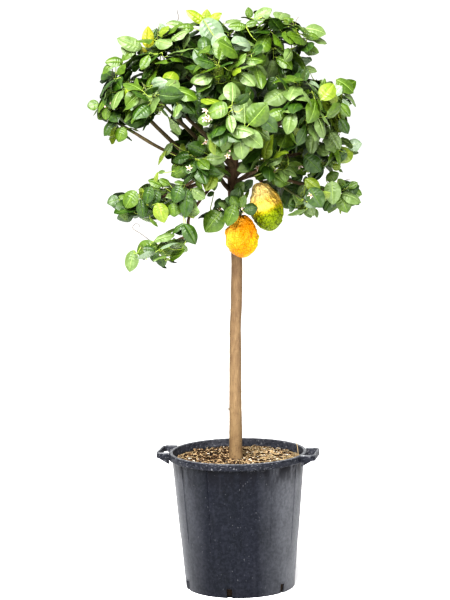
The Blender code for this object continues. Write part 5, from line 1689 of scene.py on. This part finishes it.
def flower_surface(name):
    """A petal's waxy white, flushed with pink."""
    low, high = PETAL_TONES[name]
    made = Surface(name)
    return made.shade(made.ramp(made.noise(130, 2), (0.35, low), (0.65, high)), 0.5)


def petal(root, way, out, length, width, curl):
    """Corners and faces of one narrow petal that leaves the middle upwards and curls back."""
    across = way.cross(out)
    corners = []
    for row in range(PETAL_ROWS):
        u = row / (PETAL_ROWS - 1)
        half = 0.5 * width * (math.sin(math.pi * (0.12 + 0.80 * u)) ** 0.7)
        angle = PETAL_LIFT + curl * u
        point = root + out * (length * u * math.sin(angle)) + way * (length * u * math.cos(angle))
        corners += [point + across * (half * share) + way * (PETAL_CUP * share * share)
                    for share in (-1, 0, 1)]
    return corners, grid_faces(PETAL_ROWS, 3, False)


def add_flower(pile, draw, at, way, size):
    """An open flower: five petals and a brush of stamens."""
    sides = square_to(way)
    start = draw.uniform(0, 2 * math.pi)
    for number in range(PETAL_COUNT):
        out = spoke(start + 2 * math.pi * number / PETAL_COUNT, *sides)
        length = size * draw.uniform(*PETAL_LENGTHS)
        curl = draw.uniform(*PETAL_CURLS)
        pile.add(*petal(at, way, out, length, size * PETAL_WIDTH, curl), kind=number % 2)
    for number in range(STAMEN_COUNT):
        out = spoke(number * LEAF_TURN, *sides)
        tip = at + way * (size * STAMEN_UP) + out * (size * STAMEN_OUT)
        pile.add(*tube([at, at.lerp(tip, 0.5) + out * STAMEN_BOW, tip], STAMEN_RADII, 3), kind=1)
        anther = [tip + way * (ANTHER_STEP * step) for step in range(3)]
        pile.add(*tube(anther, ANTHER_RADII, 4), kind=2)


def add_bud(pile, at, way, size):
    """A closed bud: a blunt egg, pink at its base."""
    path = [at + way * (size * share) for share, _ in BUD_FORM]
    pile.add(*tube(path, [size * share for _, share in BUD_FORM], BUD_SIDES), kind=3)


def leaf_screen(leaves):
    """The outlines of the leaves as one search tree."""
    outlines = [leaf_outline(leaf) for leaf in leaves]
    corners = np.concatenate([outline for outline, _ in outlines])
    starts = np.cumsum([0] + [len(outline) for outline, _ in outlines])
    faces = np.concatenate([part + start for start, (_, part) in zip(starts, outlines)])
    return BVHTree.FromPolygons([tuple(corner) for corner in corners], faces.tolist())


def make_flowers(plant, stalk_surface):
    """Blossom in front of the leaves where the photograph shows it, on stalks from the nearest twigs."""
    screen = leaf_screen(plant.leaves)
    carriers = plant.carriers()
    blossom, stalks = Pile(), Pile()
    draw = random.Random("blossom")
    for across, up, flowers, buds, size in FLOWERS:
        towards = (Vector((across, 0, up)) - CAMERA_AT).normalized()
        hit = screen.ray_cast(CAMERA_AT, towards)[0]
        if hit is None:
            hit = min(carriers, key=lambda point: towards.cross(point - CAMERA_AT).length)
        centre = hit - towards * BLOSSOM_IN_FRONT
        twig = nearest(carriers, centre)
        spread = 0.0 if flowers + buds == 1 else BLOSSOM_SPREAD
        for number in range(flowers + buds):
            turn = draw.uniform(0, 2 * math.pi)
            off = Vector((math.cos(turn), 0, math.sin(turn))) * spread
            at = centre + off * draw.uniform(*BLOSSOM_SPREAD_VARIES)
            way = (-towards + strayed(draw, BLOSSOM_STRAY) + UP * BLOSSOM_UPWARD).normalized()
            if number < flowers:
                add_flower(blossom, draw, at, way, size)
            else:
                add_bud(blossom, at, way, size * BUD_SIZE)
            bend = twig.lerp(at, 0.5) - UP * BLOSSOM_STALK_SAG
            line = smooth_path([twig, bend, at + way * BLOSSOM_STALK_IN], BLOSSOM_STALK_STEPS)
            stalks.add(*tube(line, taper(*BLOSSOM_STALK, BLOSSOM_STALK_STEPS), 5))
    place(blossom.build("blossom", [flower_surface(name) for name in PETAL_TONES]), "foliage")
    place(stalks.build("blossom_stalks", [stalk_surface]), "foliage")


def make_tendrils(plant, surface):
    """Dry, thread-thin shoots that stand out of the crown, each from the nearest twig."""
    carriers = plant.carriers()
    pile = Pile()
    for points in TENDRILS:
        points = [Vector(point) for point in points]
        start = nearest(carriers, points[0])
        steps = TENDRIL_STEPS * len(points)
        pile.add(*tube(smooth_path([start] + points, steps), taper(*TENDRIL_RADII, steps), 5))
    place(pile.build("dry_tendrils", [surface]), "bough")


def wall_radius(height):
    """The outer radius of the pot's tapering wall."""
    return FOOT_RADIUS + (WALL_TOP_RADIUS - FOOT_RADIUS) * height / WALL_TOP


def arc(middle, radius, first, last, count):
    """Points of an arc in the profile's plane, angles in degrees."""
    turns = [math.radians(first + (last - first) * i / count) for i in range(count + 1)]
    return [(middle[0] + radius * math.cos(turn), middle[1] + radius * math.sin(turn)) for turn in turns]


def pot_profile():
    """The pot's section, from the middle of its underside round the rim and back inside."""
    inner_lip = RIM_RADIUS - LIP_WIDTH
    heights = [EDGE + (WALL_TOP - EDGE) * i / WALL_ROWS for i in range(1, WALL_ROWS + 1)]
    profile = [(0, 0), (FOOT_RADIUS - FOOT_RING, 0)]
    profile += arc((wall_radius(EDGE) - EDGE, EDGE), EDGE, -90, 0, 5)
    profile += [(wall_radius(z), z) for z in heights]
    profile += arc((RIM_RADIUS - RIM_LOW_ROUND, WALL_TOP + RIM_LOW_ROUND), RIM_LOW_ROUND, -90, 0, 4)
    profile += arc((RIM_RADIUS - RIM_ROUND, RIM_TOP - RIM_ROUND), RIM_ROUND, 0, 90, 8)
    profile += arc((inner_lip + EDGE, RIM_TOP - EDGE), EDGE, 90, 180, 6)
    profile += [(wall_radius(WALL_TOP) - WALL, WALL_TOP - EDGE), (wall_radius(FLOOR) - WALL, FLOOR)]
    profile.append((0, FLOOR))
    return profile


def turned(profile, sides):
    """Corners and faces of a closed solid turned about Z. The profile runs from the axis and back."""
    rings = np.array([[around(radius, 360 * side / sides, height)[:] for side in range(sides)]
                      for radius, height in profile[1:-1]])
    return closed_rings(rings, [(0, 0, profile[0][1]), (0, 0, profile[-1][1])])


def upright(azimuth, shift=0.0):
    """Maps a radius, a height and a place sideways to the point at this azimuth, shifted sideways."""
    side = around(1, azimuth + 90, 0)
    return lambda radius, height, sideways: around(radius, azimuth, height) + side * (shift + sideways)


def prism(outline, thickness, place_at):
    """A flat outline given a thickness. place_at maps its two numbers and the depth in it to a point."""
    count = len(outline)
    corners = [place_at(*point, side * thickness / 2) for side in (-1, 1) for point in outline]
    faces = [list(range(count))[::-1], list(range(count, 2 * count))]
    for corner in range(count):
        following = (corner + 1) % count
        faces.append([corner, following, following + count, corner + count])
    return corners, faces


def solid(name, corners, faces, rounding=0.0):
    """A mesh object with its faces turned outwards and its edges rounded."""
    mesh = bpy.data.meshes.new(name)
    mesh.from_pydata([tuple(corner) for corner in corners], [], [list(map(int, face)) for face in faces])
    work = bmesh.new()
    work.from_mesh(mesh)
    bmesh.ops.recalc_face_normals(work, faces=work.faces)
    if rounding:
        bmesh.ops.bevel(work, geom=work.edges[:], offset=rounding, segments=3, profile=0.5,
                        affect="EDGES", clamp_overlap=True)
    work.to_mesh(mesh)
    work.free()
    return add_object(name, mesh)


def join(name, pieces, surface, crease):
    """One piece from several mesh objects. Edges that bend by more than the crease stay sharp."""
    graph = bpy.context.evaluated_depsgraph_get()
    work = bmesh.new()
    for piece in pieces:
        work.from_mesh(bpy.data.meshes.new_from_object(piece.evaluated_get(graph)))
    mesh = bpy.data.meshes.new(name)
    work.to_mesh(mesh)
    work.free()
    for piece in pieces:
        bpy.data.objects.remove(piece)
    mesh.shade_smooth()
    mesh.set_sharp_from_angle(angle=math.radians(crease))
    mesh.materials.clear()
    mesh.materials.append(surface.material)
    return add_object(name, mesh)


def make_pot(surface):
    """The pot: turned wall and rolled rim, drain slots cut through, with ribs and slot frames added."""
    corners, faces = turned(pot_profile(), POT_SIDES)
    body = solid("pot_wall", corners, [face for group in faces for face in group])
    group = bpy.data.collections.new("slots")
    bpy.context.scene.collection.children.link(group)
    inner, outer = FOOT_RADIUS - 3 * WALL, FOOT_RADIUS + 3 * WALL
    outline = [(inner, -EDGE), (outer, -EDGE), (outer, SLOT_HEIGHT), (inner, SLOT_HEIGHT)]
    trim = []
    for slot in range(SLOT_COUNT):
        azimuth = SLOT_AZIMUTH + 360 * slot / SLOT_COUNT
        cutter = solid("slot", *prism(outline, SLOT_WIDTH, upright(azimuth)))
        bpy.context.scene.collection.objects.unlink(cutter)
        group.objects.link(cutter)
        trim += slot_frame(azimuth)
    cut = body.modifiers.new("slots", "BOOLEAN")
    cut.operation = "DIFFERENCE"
    cut.operand_type = "COLLECTION"
    cut.collection = group
    cut.solver = "EXACT"
    trim += [make_rib(RIB_AZIMUTH + 360 * rib / RIB_COUNT) for rib in range(RIB_COUNT)]
    bpy.context.view_layer.update()
    made = join("pot_body", [body] + trim, surface, POT_CREASE)
    for cutter in list(group.objects):
        bpy.data.objects.remove(cutter)
    bpy.data.collections.remove(group)
    return place(made, "pot", "pot")


def slot_frame(azimuth):
    """The thin moulded frame over a drain slot."""
    half = SLOT_WIDTH / 2
    wide = half + SLOT_FRAME
    strips = ((SLOT_HEIGHT, SLOT_HEIGHT + SLOT_FRAME, -wide, wide), (EDGE, SLOT_HEIGHT, -wide, -half),
              (EDGE, SLOT_HEIGHT, half, wide))
    made = []
    for low, high, left, right in strips:
        outline = [(wall_radius(low) - WALL / 3, low), (wall_radius(low) + SLOT_FRAME_PROUD, low),
                   (wall_radius(high) + SLOT_FRAME_PROUD, high), (wall_radius(high) - WALL / 3, high)]
        corners, faces = prism(outline, right - left, upright(azimuth, (left + right) / 2))
        made.append(solid("frame", corners, faces, rounding=SLOT_FRAME_ROUND))
    return made


def make_rib(azimuth):
    """An upright rib, thin and low, that runs up the wall into the rim."""
    top = WALL_TOP + EDGE / 2
    edge = ((RIB_FOOT, 0), (RIB_FOOT + RIB_RUN_OUT, RIB_PROUD), (top, RIB_PROUD), (top, -WALL / 2),
            (RIB_FOOT, -WALL / 2))
    outline = [(wall_radius(height) + proud, height) for height, proud in edge]
    return solid("rib", *prism(outline, RIB_WIDTH, upright(azimuth)), rounding=RIB_ROUND)


def make_handle(name, azimuth, surface):
    """A loop handle: a bar with clipped corners, two arms with deeper roots, and three grip ridges."""
    out = around(1, azimuth, 0)
    side = around(1, azimuth + 90, 0)
    half = HANDLE_LENGTH / 2
    arm = half - HANDLE_ARM
    bar_inside = HANDLE_REACH - HANDLE_BAR
    seat = RIM_RADIUS - HANDLE_SEAT
    tip_root, arm_root = (math.sqrt(seat ** 2 - along ** 2) for along in (half, arm))
    outside = [(arm_root, arm), (tip_root, half), (HANDLE_REACH - HANDLE_CORNER, half),
               (HANDLE_REACH, half - HANDLE_CORNER)]
    inside = [(bar_inside, arm - HANDLE_CORNER / 2), (bar_inside - HANDLE_CORNER / 2, arm)]
    outline = outside + [(r, -t) for r, t in reversed(outside)]
    outline += [(r, -t) for r, t in reversed(inside)] + inside
    middle = HANDLE_TOP - HANDLE_HEIGHT / 2
    corners, faces = prism(outline, HANDLE_HEIGHT, lambda r, t, z: out * r + side * t + UP * (middle + z))
    pieces = [solid(name, corners, faces, rounding=HANDLE_ROUND)]
    low = HANDLE_TOP - HANDLE_ROOT_HEIGHT
    web = [(arm_root, middle), (arm_root, low), (arm_root + WEB_FOOT, low),
           (bar_inside, HANDLE_TOP - HANDLE_HEIGHT + EDGE), (bar_inside, middle)]
    for end in (-1, 1):
        corners, faces = prism(web, HANDLE_ARM * WEB_WIDTH, upright(azimuth, end * (half - HANDLE_ARM / 2)))
        pieces.append(solid(name, corners, faces, rounding=WEB_ROUND))
    ridge_half = half - HANDLE_CORNER - GRIP_END
    for ridge in (-1, 0, 1):
        height = middle + ridge * HANDLE_HEIGHT * GRIP_SPACING
        line = [out * (HANDLE_REACH - GRIP_RADIUS) + side * (ridge_half * share) + UP * height
                for share in (-1, 0, 1)]
        corners, faces = tube(line, [GRIP_RADIUS] * 3, 8)
        pieces.append(solid(name, corners, [face for group in faces for face in group]))
    return place(join(name + "_grip", pieces, surface, HANDLE_CREASE), "pot", name)


# Plastic of the pot: its two dark tones, and the tones laid over them, among them a painted sheen and a
# painted highlight.
PLASTIC = ((0.003, 0.004, 0.006), (0.005, 0.006, 0.010))
PLASTIC_MOTTLE = (0.022, 0.023, 0.031)
PLASTIC_SPECKLE = (0.030, 0.031, 0.040)
# Pale dust, also used as a painted sheen on the sides.
PLASTIC_DUST_AND_SHEEN = (0.098, 0.100, 0.108)
PLASTIC_STREAK = (0.030, 0.030, 0.036)
# Colour of the patchy darker band below the rim.
PLASTIC_DARKER_BAND = (0.004, 0.004, 0.006)
RIM_SLATE = ((0.006, 0.007, 0.010), (0.018, 0.019, 0.025))
RIM_INSIDE = (0.036, 0.037, 0.044)
# The pale colour of a painted highlight along the rim's top edge.
RIM_PAINTED_HIGHLIGHT = (0.110, 0.112, 0.117)
RIM_SCUFF = (0.260, 0.260, 0.262)
RIM_SCUFFED = 0.5
NICK = (0.110, 0.111, 0.116)

# Heights that the patchy darker band below the rim, the rim's slate, the painted highlight along its top
# edge and its scuffs each rise in between.
DARKER_BAND_RISES = (0.290, 0.352)
SLATE_RISES = (0.3575, 0.3600)
PAINTED_HIGHLIGHT_RISES = (0.3750, 0.3764)
SCUFF_RISES = (0.352, 0.358)

# Dust and a painted sheen across the pot, from its left to its right: pale at both sides, where light
# grazes the wall, and none in the middle.
DUST_AND_SHEEN_ACROSS = ((0.04, 0.75), (0.14, 0.30), (0.27, 0.0), (0.62, 0.0), (0.75, 0.34), (0.85, 0.78),
               (0.95, 1.0))


def wall_marks(made, speckle, mottle, cloud):
    """What lies over the wall's plastic, in order, with a painted sheen on both sides among it: how much of
    it there is, and its colour.
    """
    # Painted sheen: lighter towards the left and right sides as seen, mixed with patchy dust.
    painted_flank_sheen = made.ramp(made.rising("X", -RIM_RADIUS, RIM_RADIUS), *DUST_AND_SHEEN_ACROSS)
    dust_and_sheen = made.times(made.ramp(cloud, (0.25, 0.45), (0.65, 1.0)), painted_flank_sheen)
    streak = made.noise(70, 3, (1, 1, 0.04))
    # Patchy darkening that grows towards the top of the wall, below the rim.
    darker_patches = made.ramp(made.noise(45, 4, (1, 1, 0.35)), (0.42, 1.0), (0.60, 0.0))
    return [(made.ramp(mottle, (0.42, 0.0), (0.66, 0.32)), PLASTIC_MOTTLE),
            (made.ramp(speckle, (0.52, 0.0), (0.74, 0.42)), PLASTIC_SPECKLE),
            (made.times(made.ramp(mottle, (0.34, 0.72), (0.62, 1.0)), dust_and_sheen), PLASTIC_DUST_AND_SHEEN),
            (made.ramp(streak, (0.56, 0.0), (0.80, 0.30)), PLASTIC_STREAK),
            (made.times(darker_patches, made.rising("Z", *DARKER_BAND_RISES)), PLASTIC_DARKER_BAND)]


def rim_marks(made, mottle):
    """The same for the rim: its slate, the dust on the inside, a painted highlight along the top edge of
    the lip, scuffs and nicks.
    """
    slate = made.ramp(mottle, (0.36, RIM_SLATE[0]), (0.66, RIM_SLATE[1]))
    scuff = made.ramp(made.noise(150, 5, (1, 1, 1.6), 0.7), (0.58, 0.0), (0.66, RIM_SCUFFED))
    nicks = made.ramp(made.noise(230, 2, (1, 1, 0.6)), (0.70, 0.0), (0.74, 0.55))
    return [(made.rising("Z", *SLATE_RISES), slate),
            (made.times(made.ramp(mottle, (0.34, 0.35), (0.62, 1.0)), made.inwards()), RIM_INSIDE),
            # Painted highlight along the top edge of the rim.
            (made.times(made.ramp(mottle, (0.36, 0.30), (0.64, 1.0)),
                        made.rising("Z", *PAINTED_HIGHLIGHT_RISES)), RIM_PAINTED_HIGHLIGHT),
            (made.times(scuff, made.rising("Z", *SCUFF_RISES)), RIM_SCUFF),
            (nicks, NICK)]


def plastic_surface(name):
    """Dark slate plastic with fine mottling, dust and a painted sheen on its sides, a painted highlight
    along the rim's top edge, a patchy darker band below the rim, and a rim that is scuffed pale.
    """
    made = Surface(name)
    speckle = made.noise(800, 3)
    mottle = made.noise(120, 4)
    cloud = made.noise(16, 4, (1, 1, 0.45))
    colour = made.ramp(cloud, (0.30, PLASTIC[0]), (0.72, PLASTIC[1]))
    for share, over in wall_marks(made, speckle, mottle, cloud) + rim_marks(made, mottle):
        colour = made.mix(share, colour, over)
    made.shade(colour, made.ramp(speckle, (0.3, 0.38), (0.7, 0.52)), Specular_IOR_Level=0.10)
    return made.bump(speckle, 0.00025, 0.6).bump(cloud, 0.002, 0.2)


# Soil: a darker and a lighter tone of the bed, of each kind of chip, and of straw.
SOIL_TONES = {
    "soil_bed": ((0.006, 0.004, 0.002), (0.018, 0.010, 0.005)),
    "chip_dark": ((0.012, 0.006, 0.002), (0.033, 0.017, 0.007)),
    "chip_brown": ((0.050, 0.027, 0.011), (0.100, 0.058, 0.028)),
    "chip_tan": ((0.215, 0.142, 0.076), (0.345, 0.252, 0.150)),
    "grit": ((0.350, 0.314, 0.250), (0.462, 0.432, 0.374)),
    "straw": ((0.252, 0.180, 0.092), (0.372, 0.296, 0.180)),
}


def soil_surface(name):
    """Crumbly earth or a wood chip, between two browns."""
    low, high = SOIL_TONES[name]
    made = Surface(name)
    made.shade(made.ramp(made.noise(340, 3), (0.35, low), (0.65, high)), 0.92, Specular_IOR_Level=0.2)
    return made.bump(made.noise(600, 3), 0.0009, 0.8)


def soil_radius(height):
    """The radius that the soil fills at a height."""
    return wall_radius(height) - WALL - SOIL_GAP


def crumbs(spot):
    """How far the soil's crumbs stand up at a spot."""
    return sum(depth * noise.noise(spot * waves) for depth, waves in SOIL_CRUMBS)


def make_soil():
    """The soil bed, heaped and crumbly, with loose bark chips, pale grit and straw on it."""
    place(soil_bed().build("soil_bed", [soil_surface("soil_bed")]), "soil", "soil")
    draw = random.Random("chips")
    chips = Pile()
    for _ in range(CHIP_COUNT):
        add_chip(chips, draw)
    kinds = [soil_surface(name) for name in ("chip_dark", "chip_brown", "chip_tan", "grit")]
    place(chips.build("soil_chips", kinds, smooth=False), "soil")
    straws = Pile()
    for _ in range(STRAW_COUNT):
        add_straw(straws, draw)
    stick = smooth_path([Vector(point) for point in STICK], STICK_STEPS)
    straws.add(*tube(stick, taper(*STICK_RADII, STICK_STEPS), 6))
    place(straws.build("soil_straws", [soil_surface("straw")]), "soil")


def soil_bed():
    """The bed: a plug that fills the pot, with a crumbly top."""
    azimuths = [360 * side / SOIL_SIDES for side in range(SOIL_SIDES)]
    rings = [[around(soil_radius(z), azimuth, z)[:] for azimuth in azimuths] for z in SOIL_HEIGHTS]
    for ring in range(SOIL_RINGS):
        radius = soil_radius(SOIL_TOP) * (1 - ring / SOIL_RINGS)
        spots = [around(radius, azimuth, 0) for azimuth in azimuths]
        rings.append([(spot.x, spot.y, SOIL_TOP - SOIL_SINK + crumbs(spot)) for spot in spots])
    bed = Pile()
    bed.add(*closed_rings(np.array(rings), [(0, 0, SOIL_HEIGHTS[0]), (0, 0, SOIL_TOP)]))
    return bed


def add_chip(pile, draw):
    """One chip of bark or grit: a flat scrap with six corners, tilted a little."""
    reach = soil_radius(SOIL_TOP) - CHIP_TO_WALL
    spot = around(reach * math.sqrt(draw.uniform(CHIP_NEAREST, 1.0)), draw.uniform(0, 360), 0)
    length = draw.uniform(*(CHIP_SMALL if draw.random() < CHIP_SMALL_SHARE else CHIP_LARGE))
    width = length * draw.uniform(*CHIP_WIDTHS)
    thickness = min(CHIP_THICKEST, length * draw.uniform(*CHIP_THICKNESSES))
    turn = Matrix.Rotation(draw.uniform(0, 2 * math.pi), 3, "Z")
    for tilt, axis in zip(CHIP_TILTS, "XY"):
        turn = turn @ Matrix.Rotation(draw.gauss(0, tilt), 3, axis)
    lift = crumbs(spot)
    base = Vector((spot.x, spot.y, SOIL_TOP - CHIP_SINK + lift + draw.uniform(0, CHIP_LIFT)))
    on_the_right = spot.x > CHIP_PALER_FROM[0] and spot.y > CHIP_PALER_FROM[1]
    pale = draw.random() + (CHIP_PALER if on_the_right else 0.0)
    kind = sum(pale >= edge for edge in (CHIP_DARK, CHIP_BROWN, CHIP_TAN))
    corners = []
    for z in (-0.5, 0.5):
        for x, y in CHIP_OUTLINE:
            shaken = Vector((x * length * draw.uniform(*CHIP_CORNER_VARIES),
                             y * width * draw.uniform(*CHIP_CORNER_VARIES),
                             z * thickness * draw.uniform(*CHIP_DEPTH_VARIES)))
            corners.append(tuple(base + turn @ shaken))
    walls = grid_faces(2, len(CHIP_OUTLINE), True)
    pile.add(corners, np.concatenate([walls, CHIP_LIDS]), kind)


def add_straw(pile, draw):
    """One straw on the soil, more often on the right, kept inside the pot."""
    azimuth = draw.choice((draw.uniform(0, 360), draw.uniform(*STRAWS_ON_RIGHT)))
    reach = soil_radius(SOIL_TOP) - STRAW_MIDDLE_TO_WALL
    reach *= math.sqrt(draw.uniform(STRAW_NEAREST, 1.0))
    spot = around(reach, azimuth, SOIL_TOP + STRAW_LIE)
    turn = draw.uniform(0, 2 * math.pi)
    run = Vector((math.cos(turn), math.sin(turn), 0)) * draw.uniform(*STRAW_HALVES)
    middle = spot + UP * draw.uniform(*STRAW_LIFTS)
    ends = [spot - run, middle, spot + run + UP * draw.uniform(0, STRAW_LIFTS[1])]
    limit = soil_radius(SOIL_TOP) - STRAW_TO_WALL
    for end in (ends[0], ends[2]):
        reach = math.hypot(end.x, end.y)
        if reach > limit:
            end.x *= limit / reach
            end.y *= limit / reach
    pile.add(*tube(smooth_path(ends, STRAW_STEPS), taper(*STRAW_RADII, STRAW_STEPS), STRAW_SIDES))


def grow_plant(box):
    """The limbs, the leaves that the photograph shows, and the seeded rest of the crown round them."""
    plant = Plant(plan_limbs(), box)
    plant.place_seen()
    for mass in MASSES:
        plant.grow(mass)
    plant.join_seen()
    return plant


def build():
    """The whole dressed plant, its floor, lights and camera."""
    cad_box = [list(corner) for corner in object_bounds()]
    plant = grow_plant(cad_box)
    names = [mass.name for mass in MASSES]
    stalk = twig_surface("green_stalk")
    make_trunk(*plant.limbs["trunk"])
    make_boughs(plant.limbs)
    make_twigs(plant, twig_surface("twig_bark"), stalk, names)
    make_leaves(plant, names)
    for number, (name, rind) in enumerate(RINDS.items()):
        make_citron(name, number, citron_surface(rind))
    make_flowers(plant, stalk)
    make_tendrils(plant, twig_surface("dry_twig"))

    plastic = plastic_surface("pot_plastic")
    make_pot(plastic)
    for name, azimuth in HANDLE_AZIMUTHS.items():
        make_handle(name, azimuth, plastic)
    make_soil()
    stage_set()
    bpy.context.view_layer.update()


for startup in list(bpy.data.objects):
    bpy.data.objects.remove(startup)
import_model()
build()
